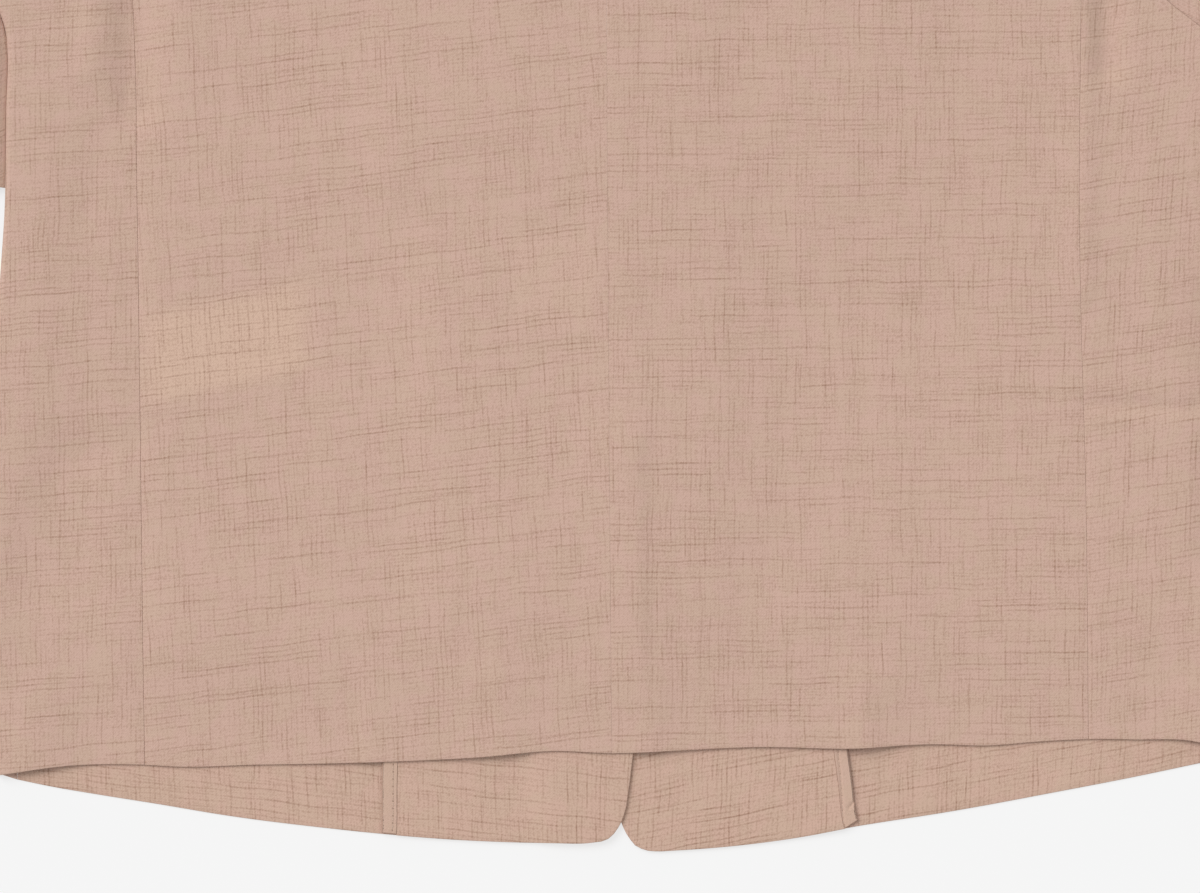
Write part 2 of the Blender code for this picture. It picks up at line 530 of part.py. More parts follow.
def main():
    """Builds the garment from the surface up, then moves it so that its middle is at the origin."""
    for old in list(bpy.data.objects):
        bpy.data.objects.remove(old)
    colours = {"outside": (0.565, 0.385, 0.305), "inside": (0.565, 0.385, 0.300),
               "binding": (0.570, 0.390, 0.300)}
    pile = Pile()
    build_button(pile)
    for sign in (-1, 1):
        pile.lay(collar_end_plan(sign), flat_on_floor, DOUBLED)
    for side in (RIGHT, LEFT):
        name = "lapel_" + ("left" if side.sign < 0 else "right")
        height = pile.draped()
        lapel = lapel_plan(side.sign)
        flat_wall(name, lapel, height, DOUBLED, colours["outside"])
        pile.lay(lapel, height, DOUBLED)
        build_front(side, pile, colours)
    neck = [(side.sign * FRONT_NECK[0], FRONT_NECK[1]) for side in (LEFT, RIGHT)]
    pile.put(np.array([(0.0, 297.0), *neck]) * MM, NECK_STAND)
    draped = pile.draped(reach=34 * MM, blur=16 * MM)

    def top_height(x, y):
        under = draped(x, y)
        body = ramp(y, 0, 60 * MM) * (1 - ramp(y, 460 * MM, 550 * MM))
        body = body * (1 - 0.85 * ramp(under, 3.5 * MM, 7.5 * MM))
        loft = BACK_LOFT * body + SIDE_LIFT * ramp(np.abs(x), 215 * MM, 252 * MM)
        return under + HEM_LOFT + loft + relief(x, y) * ramp(y, 8 * MM, 55 * MM)

    for side in (LEFT, RIGHT):
        plan = back_plan(side)
        flat_wall("back_" + ("left" if side.sign < 0 else "right"), inset(plan, "nwe"), top_height, CLOTH,
                  colours["outside"])
        pile.lay(plan, top_height, CLOTH)
        build_side(side, top_height, colours["outside"])
        build_sleeve(side, top_height, colours["outside"])
    build_collar(pile, colours["outside"])
    for made in bpy.context.scene.objects:
        made.data.transform(Matrix.Translation((-CENTRE[0] * MM, -CENTRE[1] * MM, 0)))


main()
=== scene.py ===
"""Looks of a single breasted blazer that lies flat on its front, with its back up.

Every panel is laid out from the pattern lines that its solid has, as a wall of cloth on a grid of rows and
columns, over whatever lies under it, with its edges rolled as sewn edges are. X runs across the garment
(the wearer's left is -X), Y from the hem to the collar and Z up. Pattern lines are in millimetres from the
centre back at hem level; what is made from them is in metres and in the frame's place.
"""

import logging
import math
from collections.abc import Callable
from dataclasses import dataclass, field
from enum import Enum

import bpy
import numpy as np
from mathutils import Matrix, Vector


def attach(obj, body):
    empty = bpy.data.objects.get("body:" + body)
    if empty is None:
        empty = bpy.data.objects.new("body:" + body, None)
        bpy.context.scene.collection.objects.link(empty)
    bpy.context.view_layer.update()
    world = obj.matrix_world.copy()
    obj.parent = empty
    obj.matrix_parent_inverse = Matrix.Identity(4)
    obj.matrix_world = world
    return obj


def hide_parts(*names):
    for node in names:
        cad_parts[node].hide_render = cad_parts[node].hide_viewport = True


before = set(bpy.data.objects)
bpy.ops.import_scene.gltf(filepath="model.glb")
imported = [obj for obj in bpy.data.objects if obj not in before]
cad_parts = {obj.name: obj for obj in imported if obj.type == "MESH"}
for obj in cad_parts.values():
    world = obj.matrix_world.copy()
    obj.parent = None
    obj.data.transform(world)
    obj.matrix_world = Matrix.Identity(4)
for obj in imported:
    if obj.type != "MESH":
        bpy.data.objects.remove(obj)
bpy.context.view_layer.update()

Array = np.ndarray
Height = Callable[[Array, Array], Array]
Table = list[tuple[float, float]]

log = logging.getLogger("blazer")
MM = 0.001
CENTRE = np.array([2.09, 282.32]) * MM  # middle of the laid garment, from the centre back at hem level
CLOTH, DOUBLED, BOUND = 0.65 * MM, 1.3 * MM, 0.9 * MM  # walls of one layer, of two, and of the bound edge
GAP = 0.12 * MM  # between a cloth and what it lies on
SEAM_INSET = 0.01 * MM
FINER = 9  # grid cells of a panel for each one of its solid
CURVE = 1200  # points that a curve is worked out at
FINE = 4000  # even points of a line, from which uneven ones are picked
RASTER_X, RASTER_Y, RASTER_STEP = (-450, 451), (-70, 641), 2  # what the pile covers, in millimetres


# ---------------------------------------------------------------- pattern lines


def ramp(value: Array, low: float, high: float) -> Array:
    """A smooth step.

    Args:
        value: Where to work it out.
        low: Below this it is 0.
        high: Above this it is 1.

    Returns:
        t squared times (3 - 2t), with t the clipped share of the way from low to high.
    """
    t = np.clip((value - low) / (high - low), 0, 1)
    return t * t * (3 - 2 * t)


def run_along(points: Array, axis: int = 0) -> Array:
    """How far each point lies along its line, which runs along this axis."""
    start = np.take(points, [0], axis)
    return np.cumsum(np.linalg.norm(np.diff(points, axis=axis, prepend=start), axis=-1), axis=axis)


def line(points: Table, count: int, smooth: bool = True) -> Array:
    """Points evenly spaced along a line.

    Args:
        points: What the line runs through, in millimetres.
        count: How many points to give.
        smooth: A cubic Hermite curve through the points, or straight runs between them.

    Returns:
        An array (count, 2) in metres.
    """
    p = np.array(points, float)
    s = run_along(p)
    fine = np.linspace(0, s[-1], CURVE)
    if smooth and len(p) > 2:
        slope = np.gradient(p, s, axis=0)
        i = np.clip(np.searchsorted(s, fine, side="right") - 1, 0, len(s) - 2)
        h = (s[i + 1] - s[i])[:, None]
        t = ((fine - s[i]) / h[:, 0])[:, None]
        curve = ((2 * t**3 - 3 * t**2 + 1) * p[i] + (t**3 - 2 * t**2 + t) * h * slope[i]
                 + (3 * t**2 - 2 * t**3) * p[i + 1] + (t**3 - t**2) * h * slope[i + 1])
    else:
        curve = np.stack([np.interp(fine, s, p[:, k]) for k in range(2)], axis=1)
    along = run_along(curve)
    at = np.linspace(0, along[-1], count)
    return np.stack([np.interp(at, along, curve[:, k]) for k in range(2)], axis=1) * MM


def chain(*lines: Array) -> Array:
    """Lines end to end, without their doubled end points."""
    return np.concatenate([lines[0]] + [part[1:] for part in lines[1:]])


def between(points: Table, x_from: float, x_to: float, count: int) -> Array:
    """The part of a left-to-right line that lies between two x values in millimetres."""
    p = line(points, CURVE)
    x = np.linspace(x_from, x_to, count) * MM
    return np.stack([x, np.interp(x, p[:, 0], p[:, 1])], axis=1)


def at_shares(points: Table, shares: Array) -> Array:
    """Points at these shares of a line, picked from FINE even ones."""
    return line(points, FINE)[np.round(shares * (FINE - 1)).astype(int)]


def xy(plan: Array) -> tuple[Array, Array]:
    """The x and the y of plan points (..., 2)."""
    return plan[..., 0], plan[..., 1]


def in_mm(point: Array) -> tuple[float, float]:
    """A plan point in millimetres, as a line's table has it."""
    return tuple(point / MM)


def patch(south: Array, north: Array, west: Array, east: Array, shares: Array | None = None) -> Array:
    """A Coons patch: both ruled surfaces between four edges, less the one between their corners.

    Args:
        south: The first row, from west to east.
        north: The last row, from west to east.
        west: The first column, from south to north.
        east: The last column, from south to north.
        shares: The columns' places across, from 0 to 1; even when left out.

    Returns:
        An array (rows, columns, 2).
    """
    u = (np.linspace(0, 1, len(south)) if shares is None else shares)[None, :, None]
    v = np.linspace(0, 1, len(west))[:, None, None]
    ruled = (1 - v) * south[None] + v * north[None] + (1 - u) * west[:, None] + u * east[:, None]
    corners = ((1 - u) * (1 - v) * south[0] + u * (1 - v) * south[-1]
               + (1 - u) * v * north[0] + u * v * north[-1])
    return ruled - corners


def finer(plan: Array, times: int) -> Array:
    """A plan grid with times as many cells each way, linear between its points."""
    for axis in (0, 1):
        at = np.linspace(0, plan.shape[axis] - 1, (plan.shape[axis] - 1) * times + 1)
        low = np.minimum(at.astype(int), plan.shape[axis] - 2)
        share = np.expand_dims(at - low, (1 - axis, 2))
        plan = np.take(plan, low, axis) * (1 - share) + np.take(plan, low + 1, axis) * share
    return plan


def inset(plan: Array, edges: str, amount: float = SEAM_INSET) -> Array:
    """Moves the named edges (any of s, n, w, e) of a plan grid in, each along its grid lines."""
    p = plan.copy()
    for name, edge, inner in (("s", 0, 1), ("n", -1, -2)):
        if name in edges:
            step = plan[inner] - plan[edge]
            p[edge] += amount * step / np.linalg.norm(step, axis=-1, keepdims=True)
    for name, edge, inner in (("w", 0, 1), ("e", -1, -2)):
        if name in edges:
            step = p[:, inner] - p[:, edge]
            p[:, edge] += amount * step / np.linalg.norm(step, axis=-1, keepdims=True)
    return p


def outward(edge: Array, away_from: Array) -> Array:
    """Unit plan normals of a line, turned so that they point away from a point."""
    along = np.gradient(edge, axis=0)
    n = np.stack([along[:, 1], -along[:, 0]], axis=1)
    n /= np.linalg.norm(n, axis=1, keepdims=True)
    return n if ((edge - away_from) * n).sum() > 0 else -n


class Hand(Enum):
    """A side of the garment, as its wearer has it, with the sign of its X."""

    LEFT = -1
    RIGHT = 1

    @property
    def word(self) -> str:
        """The side's name as the nodes spell it."""
        return self.name.lower()


BACK_HEM: Table = [
    (-260.0, -10.4), (-228.8, -6.4), (-198.2, -6.2), (-183.0, -7.0), (-150.7, -6.2), (-123.5, -5.7),
    (-96.4, -4.9), (-56.9, -3.0), (-24.2, -0.2), (0.8, -1.1), (30.1, 0.0), (62.4, 1.4), (102.3, 0.8),
    (134.6, 2.5), (163.0, 2.1), (178.3, 3.4), (202.9, 4.7), (221.6, 4.7), (250.5, 3.6), (260.0, 0.6)]
CENTRE_BACK: Table = [
    (0.8, -1.1), (0.2, 60.0), (-0.6, 170.0), (-1.3, 275.9), (-1.4, 400.0), (-0.6, 500.0), (0.0, 578.0)]
NECK_POINT, FRONT_NECK = (72.0, 598.0), (66.0, 598.0)
LAP, ROLL_LOW = 18, 215  # how far each front passes the centre, and where its roll line starts


@dataclass(frozen=True)
class SidePattern:
    """The plan lines of one side of the garment, in millimetres, each from the hem up or left to right.

    facing_shift moves the bound edge sideways, as (y, shift) pairs, and hem_drop is how much lower than the
    side fold's end the hem lies at the seam turned under.
    """

    hand: Hand
    fold: Table
    seam: Table
    arm_low: Table
    arm_high: Table
    front_arm: Table
    sleeve_out: Table
    sleeve_hem: Table
    front_hem: Table
    front_edge: Table
    facing_share: float
    facing_shift: Table
    hem_drop: float
    lapel_start: float

    def roll_x(self, y: float) -> float:
        """X of the front's roll line at height y; the two lines cross above the button."""
        s = self.hand.value
        return -s * LAP + s * (LAP + FRONT_NECK[0]) * (y - ROLL_LOW) / (FRONT_NECK[1] - ROLL_LOW)

    def under_seam(self, count: int, inside: float) -> Array:
        """The seam turned under, this far inside the side fold, its lowest 20 mm drawn down by hem_drop."""
        edge = line(self.fold, count)
        seam = edge - outward(edge, np.zeros(2)) * inside
        seam[:, 1] -= self.hem_drop * MM * np.clip(1 - (seam[:, 1] - seam[0, 1]) / (20 * MM), 0, 1)
        return seam


LEFT = SidePattern(
    hand=Hand.LEFT,
    fold=[(-260.0, -10.4), (-261.2, 60.0), (-261.4, 140.0), (-258.9, 195.3), (-256.7, 228.0),
          (-256.0, 272.0), (-255.5, 297.0), (-256.4, 305.6), (-258.9, 313.3), (-268.3, 333.2)],
    seam=[(-197.4, -6.2), (-198.7, 106.1), (-200.4, 233.5), (-201.6, 297.1), (-202.5, 318.4),
          (-205.5, 352.0), (-211.0, 384.0), (-217.0, 411.0)],
    arm_low=[(-268.3, 333.2), (-258.9, 350.2), (-237.7, 377.8), (-217.0, 411.0)],
    arm_high=[(-217.0, 411.0), (-207.0, 450.0), (-203.2, 500.0), (-203.8, 556.0)],
    front_arm=[(-268.3, 333.2), (-250.0, 350.0), (-216.0, 380.0), (-196.0, 425.0), (-193.0, 485.0),
               (-203.8, 556.0)],
    sleeve_out=[(-211.0, 567.0), (-270.0, 553.0), (-345.0, 512.0), (-408.0, 440.0), (-428.0, 350.0),
                (-412.0, 264.0)],
    sleeve_hem=[(-257.4, 238.2), (-300.0, 244.0), (-360.0, 255.0), (-412.0, 264.0)],
    front_hem=[(-254.0, -12.4), (-237.3, -15.3), (-215.6, -18.9), (-189.8, -22.9), (-161.3, -27.6),
               (-118.0, -33.1), (-89.1, -36.1), (-56.9, -38.4), (-24.2, -39.3), (-6.8, -39.0),
               (-1.4, -37.9), (1.6, -35.4)],
    front_edge=[(1.6, -35.4), (4.4, -31.2), (6.4, -25.9), (7.8, -17.5), (9.8, -1.3), (14.0, 45.0),
                (17.0, 100.0), (18.0, 160.0), (18.0, 215.0)],
    facing_share=0.6165,
    facing_shift=[(-36.0, -1.3), (-30.0, -3.25), (-24.0, -4.4), (-16.0, -5.1), (-8.0, -5.5), (0.0, -5.8),
                  (250.0, 0.0)],
    hem_drop=2.2,
    lapel_start=296.0,
)
RIGHT = SidePattern(
    hand=Hand.RIGHT,
    fold=[(260.0, 0.6), (261.5, 80.0), (262.0, 160.0), (261.0, 240.0), (259.8, 297.1)],
    seam=[(202.9, 4.7), (201.6, 106.1), (198.7, 233.5), (199.2, 290.0), (200.0, 325.0), (203.0, 350.0),
          (210.5, 375.0)],
    arm_low=[(259.8, 297.1), (250.5, 306.3), (235.6, 318.4), (219.5, 343.0), (210.5, 375.0)],
    arm_high=[(210.5, 375.0), (205.0, 420.0), (203.2, 485.0), (204.6, 556.0)],
    front_arm=[(259.8, 297.1), (243.0, 316.0), (214.0, 355.0), (196.0, 410.0), (193.0, 480.0),
               (204.6, 556.0)],
    sleeve_out=[(212.0, 567.0), (272.0, 552.0), (348.0, 508.0), (412.0, 430.0), (432.0, 335.0),
                (417.0, 238.0)],
    sleeve_hem=[(262.6, 212.0), (300.0, 218.0), (362.0, 229.0), (417.0, 238.0)],
    front_hem=[(254.0, -5.4), (221.6, -11.5), (188.9, -17.8), (145.6, -25.9), (106.5, -32.3),
               (80.7, -37.1), (26.7, -42.6), (19.5, -42.9), (14.4, -42.2), (10.6, -40.3)],
    front_edge=[(10.6, -40.3), (7.6, -36.5), (4.9, -31.0), (2.0, -20.0), (-4.0, 10.0), (-12.0, 60.0),
                (-17.0, 115.0), (-18.0, 165.0), (-18.0, 215.0)],
    facing_share=0.6015,
    facing_shift=[(-32.0, -1.7), (-28.0, -0.9), (-23.0, 0.05), (-17.0, 0.6), (0.0, 0.6), (250.0, 0.0)],
    hem_drop=6.0,
    lapel_start=222.0,
)


# ---------------------------------------------------------------- laying cloth on cloth


@dataclass(frozen=True)
class Crease:
    """A soft trough (negative rise) or ridge along a straight line, in millimetres.

    half is its half width, and right_half the one on the right of its direction, where that is another.
    """

    start: tuple[float, float]
    end: tuple[float, float]
    half: float
    rise: float
    right_half: float | None = None

    def at(self, x: Array, y: Array) -> Array:
        """Height that it adds: its rise times the bell exp(-d squared), d the distance over the half width.

        Round its ends the half width goes from the left one to the right one with the angle.
        """
        (x0, y0), (x1, y1) = np.array(self.start) * MM, np.array(self.end) * MM
        dx, dy = x1 - x0, y1 - y0
        t = np.clip(((x - x0) * dx + (y - y0) * dy) / (dx * dx + dy * dy), 0, 1)
        off_x, off_y = x - x0 - t * dx, y - y0 - t * dy
        off = np.hypot(off_x, off_y)
        right = 0.5 + 0.5 * (off_x * dy - off_y * dx) / (math.hypot(dx, dy) * np.maximum(off, 1e-9))
        half = self.half + ((self.right_half or self.half) - self.half) * right
        return self.rise * MM * np.exp(-(off / (half * MM)) ** 2)


def unevenness(x: Array, y: Array, size: float) -> Array:
    """A gentle, uneven swell of laid cloth: five crossing waves 50 to 170 mm long, size high in all."""
    waves = ((0.061, 0.9, 0.3), (0.087, 2.4, 1.9), (0.117, -0.5, 4.1), (0.143, 1.5, 2.6), (0.171, 0.1, 0.9))
    total = np.zeros_like(x)
    for length, turn, phase in waves:
        total += np.sin(2 * math.pi * (x * math.cos(turn) + y * math.sin(turn)) / length + phase)
    return size * total / len(waves)


class Pile:
    """Heights of the cloth laid down so far, on a raster, as tops plus the gap to the next layer."""

    step: float = RASTER_STEP * MM

    def __init__(self) -> None:
        """Starts with nothing on the surface."""
        self.x = np.arange(*RASTER_X, RASTER_STEP) * MM
        self.y = np.arange(*RASTER_Y, RASTER_STEP) * MM
        self.grid_x, self.grid_y = np.meshgrid(self.x, self.y)
        self.top = np.zeros_like(self.grid_x)

    def inside(self, outline: Array) -> Array:
        """Which raster points lie inside a closed outline, by counting its crossings to their right."""
        hit = np.zeros(self.top.shape, bool)
        for (x0, y0), (x1, y1) in zip(outline, np.roll(outline, -1, axis=0)):
            if y0 == y1:
                continue
            spans = (self.grid_y >= min(y0, y1)) & (self.grid_y < max(y0, y1))
            hit ^= spans & (self.grid_x < x0 + (self.grid_y - y0) * (x1 - x0) / (y1 - y0))
        return hit

    def put(self, outline: Array, top: Array | float) -> None:
        """Adds what lies inside an outline, up to a height."""
        here = self.inside(outline)
        self.top[here] = np.maximum(self.top, top)[here]

    def lay(self, plan: Array, height: Height, thickness: float) -> None:
        """Adds a panel, from its plan grid, the height of its underside and its thickness."""
        rim = np.concatenate([plan[0], plan[1:, -1], plan[-1, -2::-1], plan[-2:0:-1, 0]])[::4]
        self.put(rim, height(self.grid_x, self.grid_y) + thickness + GAP)

    def draped(self, reach: float, blur: float) -> Height:
        """The height of a cloth laid on the pile.

        Args:
            reach: How far round each point the highest top counts.
            blur: How far that is smoothed, by three box means one after the other; at most reach.

        Returns:
            A function of x and y that stays above all that lies within reach less blur.
        """
        heights = self.top.copy()
        for axis in (0, 1):
            source = heights.copy()
            for shift in range(1, round(reach / self.step) + 1):
                for way in (shift, -shift):
                    heights = np.maximum(heights, np.roll(source, way, axis=axis))
        cells = round(blur / self.step / 3)
        for axis in (0, 1) * 3:
            shifted = (np.roll(heights, k, axis=axis) for k in range(-cells, cells + 1))
            heights = sum(shifted) / (2 * cells + 1)

        def height(x: Array, y: Array) -> Array:
            """Bilinear between the raster's points."""
            i = np.clip((x - self.x[0]) / self.step, 0, len(self.x) - 1.001)
            j = np.clip((y - self.y[0]) / self.step, 0, len(self.y) - 1.001)
            a, b = i.astype(int), j.astype(int)
            s, t = i - a, j - b
            return ((1 - s) * (1 - t) * heights[b, a] + s * (1 - t) * heights[b, a + 1]
                    + (1 - s) * t * heights[b + 1, a] + s * t * heights[b + 1, a + 1])

        return height


# ---------------------------------------------------------------- walls of cloth


@dataclass(frozen=True)
class Grain:
    """How the yarns run over a panel, against X and Y.

    The weft rises to the right by rise, and by bend more for each metre; the warp leans to the right by
    lean for each metre up, and by curl more. shift sets the panel off in the weave, so that no two match.
    """

    rise: float = 0.0
    bend: float = 0.0
    lean: float = 0.0
    curl: float = 0.0
    shift: tuple[float, float] = (0.0, 0.0)

    def coordinates(self, cut: Array) -> Array:
        """Places along the weft and the warp, in metres, of plan points (..., 2)."""
        x, y = cut[..., 0], cut[..., 1]
        across = x - self.lean * y - self.curl * y * y / 2
        up = y - self.rise * x - self.bend * x * x / 2
        return np.stack([across + self.shift[0], up + self.shift[1]], axis=-1)


@dataclass
class Wall:
    """A closed wall of cloth between a grid of outer points and the same grid moved in along its normals.

    Its rim is a half-round of rim_rings steps, which is how a turned edge ends. Along the edges that sewn
    names (any of s, n, w, e) it stands out by only the share given there, as the seam holds them together.
    """

    name: str
    outer: Array
    normal: Array
    cut: Array
    thickness: float
    grain: Grain
    sewn: dict[str, float] = field(default_factory=dict)
    rim_rings: int = 6
    marks: dict[str, Array] = field(default_factory=dict)

    def perimeter(self) -> tuple[Array, Array]:
        """Indices of the grid's boundary points, once round, and how far the rim stands out at each."""
        rows, cols = self.outer.shape[:2]
        index = np.arange(rows * cols).reshape(rows, cols)
        sides = {"s": index[0, :-1], "e": index[:-1, -1], "n": index[-1, :0:-1], "w": index[:0:-1, 0]}
        reach = [np.full(len(ids), self.sewn.get(name, 1.0)) for name, ids in sides.items()]
        return np.concatenate(list(sides.values())), np.concatenate(reach)[:, None]

    def edge_outward(self, rim: Array) -> Array:
        """Unit directions in the cloth that point off the wall at its boundary points."""
        rows, cols = self.outer.shape[:2]
        flat = self.outer.reshape(-1, 3)
        normal = self.normal.reshape(-1, 3)
        along = np.roll(flat[rim], -1, axis=0) - np.roll(flat[rim], 1, axis=0)
        out = np.cross(along, normal[rim])
        out /= np.linalg.norm(out, axis=1, keepdims=True)
        row, col = np.divmod(rim, cols)
        inner = np.clip(row, 1, rows - 2) * cols + np.clip(col, 1, cols - 2)
        return out if ((flat[rim] - flat[inner]) * out).sum() > 0 else -out

    def build(self) -> bpy.types.Object:
        """Makes the wall's mesh, with its UV map Cloth and its marks as attributes, and its object.

        The mark turned, from which the linen finish paints shade onto the rims, is 0 on both faces, and on a
        free edge's rim the cosine of its angle off the edge.
        """
        rows, cols = self.outer.shape[:2]
        count = rows * cols
        rim, reach = self.perimeter()
        radius = self.thickness / 2
        out = self.edge_outward(rim) * radius * reach
        flat, normal = self.outer.reshape(-1, 3).copy(), self.normal.reshape(-1, 3)
        flat[rim] -= out
        middle = flat[rim] - normal[rim] * radius
        turns = np.linspace(np.pi / 2, -np.pi / 2, self.rim_rings + 1)[1:-1]
        rings = [middle + out * math.cos(a) + normal[rim] * radius * math.sin(a) for a in turns]
        # turned: where shade is painted onto the rims of free edges, strongest half way round the rim
        turned = np.concatenate([np.zeros(2 * count), *((reach[:, 0] == 1) * math.cos(a) for a in turns)])
        points = np.concatenate([flat, flat - normal * self.thickness, *rings])
        index = np.arange(count).reshape(rows, cols)
        a, b, c, d = index[:-1, :-1], index[:-1, 1:], index[1:, 1:], index[1:, :-1]
        quads = [np.stack([a, b, c, d], -1).reshape(-1, 4),
                 np.stack([a, d, c, b], -1).reshape(-1, 4) + count]
        loops = [rim] + [2 * count + k * len(rim) + np.arange(len(rim)) for k in range(len(rings))]
        loops.append(rim + count)
        for high, low in zip(loops[:-1], loops[1:]):
            quads.append(np.stack([high, low, np.roll(low, -1), np.roll(high, -1)], -1))
        faces = facing_out(points, np.concatenate(quads))
        source = np.concatenate([np.arange(count), np.arange(count), np.tile(rim, len(rings))])
        made = mesh_object(self.name, points, faces)
        uv = self.grain.coordinates(self.cut).reshape(-1, 2)[source]
        made.data.uv_layers.new(name="Cloth").data.foreach_set("uv", uv[faces.ravel()].ravel())
        marks = {name: values.reshape(-1)[source] for name, values in self.marks.items()}
        for name, values in {**marks, "turned": turned}.items():
            mark = made.data.attributes.new(name, "FLOAT", "POINT")
            mark.data.foreach_set("value", values)
        pairs = np.stack([rim, np.roll(rim, -1)], 1)[reach[:, 0] < 1]
        sharpen(made.data, np.concatenate([pairs, pairs + count]))
        return made


def sharpen(mesh: bpy.types.Mesh, pairs: Array) -> None:
    """Shades the edges between these pairs of points sharp."""
    ends = np.empty(2 * len(mesh.edges), np.int32)
    mesh.edges.foreach_get("vertices", ends)
    every, wanted = (np.sort(e, 1).astype(np.int64) for e in (ends.reshape(-1, 2), pairs))
    base = len(mesh.vertices)
    sharp = np.isin(every[:, 0] * base + every[:, 1], wanted[:, 0] * base + wanted[:, 1])
    mesh.attributes.new("sharp_edge", "BOOLEAN", "EDGE").data.foreach_set("value", sharp)


def facing_out(points: Array, faces: Array) -> Array:
    """Quads that enclose a volume, turned round if they face inwards, where that volume is negative."""
    p = points[faces]
    crossed = np.cross(p[:, 1], p[:, 2]) + np.cross(p[:, 2], p[:, 3])
    return faces[:, ::-1] if np.einsum("ij,ij->i", p[:, 0], crossed).sum() < 0 else faces


def closed_tube(index: Array) -> Array:
    """Quads between each ring of point indices (rings, around) and the next, with both ends closed."""
    low, high = index[:-1], index[1:]
    sides = np.stack([low, high, np.roll(high, -1, 1), np.roll(low, -1, 1)], -1).reshape(-1, 4)
    return np.concatenate([sides, disc_quads(index[0]), disc_quads(index[-1])[:, ::-1]])


def disc_quads(ring: Array) -> Array:
    """Quads that close a ring of an even number of points, in strips from one side to the other."""
    half = len(ring) // 2
    near, far = ring[:half], ring[:half - 1:-1]
    return np.stack([near[:-1], near[1:], far[1:], far[:-1]], -1)


def mesh_object(name: str, points: Array, faces: Array) -> bpy.types.Object:
    """Makes a smooth object from quads, with its points moved from the pattern's place to the frame's.

    Args:
        name: The object's and the mesh's name.
        points: An array (count, 3) in metres, from the centre back at hem level.
        faces: An array (quads, 4) of point indices, facing outwards.

    Returns:
        The linked object, at the origin.
    """
    placed = points - np.array([CENTRE[0], CENTRE[1], 0.0])
    mesh = bpy.data.meshes.new(name)
    mesh.vertices.add(len(placed))
    mesh.vertices.foreach_set("co", placed.ravel())
    mesh.loops.add(faces.size)
    mesh.loops.foreach_set("vertex_index", faces.ravel())
    mesh.polygons.add(len(faces))
    mesh.polygons.foreach_set("loop_start", np.arange(0, faces.size, 4))
    mesh.update(calc_edges=True)
    mesh.shade_smooth()
    made = bpy.data.objects.new(name, mesh)
    bpy.context.scene.collection.objects.link(made)
    return made


def layer(plan: Array, top: Array | float, up: int) -> tuple[Array, Array]:
    """Outer points and normals of a layer that faces up (1) or down (-1) at the given height."""
    normal = np.zeros((*plan.shape[:2], 3))
    normal[..., 2] = up
    return np.dstack([plan, np.broadcast_to(top, plan.shape[:2])]), normal


def fold(edge: Array, n: Array, top: Array, steps: int) -> tuple[Array, Array]:
    """A half-round fold.

    Args:
        edge: The fold's furthest line, as plan points.
        n: Its outward plan normals.
        top: The height of the cloth's upper face; the fold ends on the surface.
        steps: Steps round the half circle.

    Returns:
        Points and normals (len(edge), steps + 1, 3): a circle of half the height about the fold's middle.
    """
    radius = (top / 2)[:, None, None]
    angle = np.linspace(np.pi / 2, -np.pi / 2, steps + 1)[None, :, None]
    rise = np.broadcast_to(np.sin(angle), (len(n), steps + 1, 1))
    normal = np.concatenate([n[:, None] * np.cos(angle), rise], -1)
    centre = np.concatenate([edge[:, None] - n[:, None] * radius, radius], -1)
    return centre + normal * radius, normal


def unrolled(points: Array, start: Array, direction: Array) -> Array:
    """Plan places of a folded strip as if it were pressed flat.

    Args:
        points: Outer points (rows, cols, 3).
        start: Plan place of the first column.
        direction: Plan direction across, for each row.

    Returns:
        start moved along direction by the distance run over the cloth, (rows, cols, 2).
    """
    return start[:, None] + direction[:, None] * run_along(points, 1)[..., None]


def open_wall(name: str, plan: Array, top: Array, thickness: float, grain: Grain,
              sewn: dict[str, float] | None = None, **marks: Array) -> bpy.types.Object:
    """Makes a panel that lies open, face up.

    Args:
        name: The piece's name.
        plan: Its plan grid, which is its cut too.
        top: The height of its upper face.
        thickness: Its wall's thickness.
        grain: How its yarns run.
        sewn: As a wall's; these edges are moved in by SEAM_INSET.
        **marks: Attributes that its finish reads.

    Returns:
        The wall's object.
    """
    sewn = sewn or {}
    outer, normal = layer(inset(plan, "".join(sewn)), top, 1)
    return Wall(name, outer, normal, plan, thickness, grain, sewn, marks=marks).build()


# ---------------------------------------------------------------- what every piece is given


@dataclass(frozen=True)
class Cut:
    """The flat size that a piece was cut to, with its seam allowances and hem, in metres."""

    width: float
    length: float
    area: float

    def declare(self, piece: bpy.types.Object, rests_on: list[str], trims: tuple = ()) -> None:
        """Takes the piece, what it rests on and the trims sewn to it, and does nothing with them."""


def dress(piece: bpy.types.Object, slot: str, material: bpy.types.Material, *nodes: str) -> bpy.types.Object:
    """Gives a piece its material, lets it ride on the part, and hides what it stands for."""
    piece.data.materials.append(material)
    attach(piece, "root")
    if nodes:
        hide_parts(*nodes)
    log.info("%s: %d faces", piece.name, len(piece.data.polygons))
    return piece


# ---------------------------------------------------------------- fronts, facings and lapels


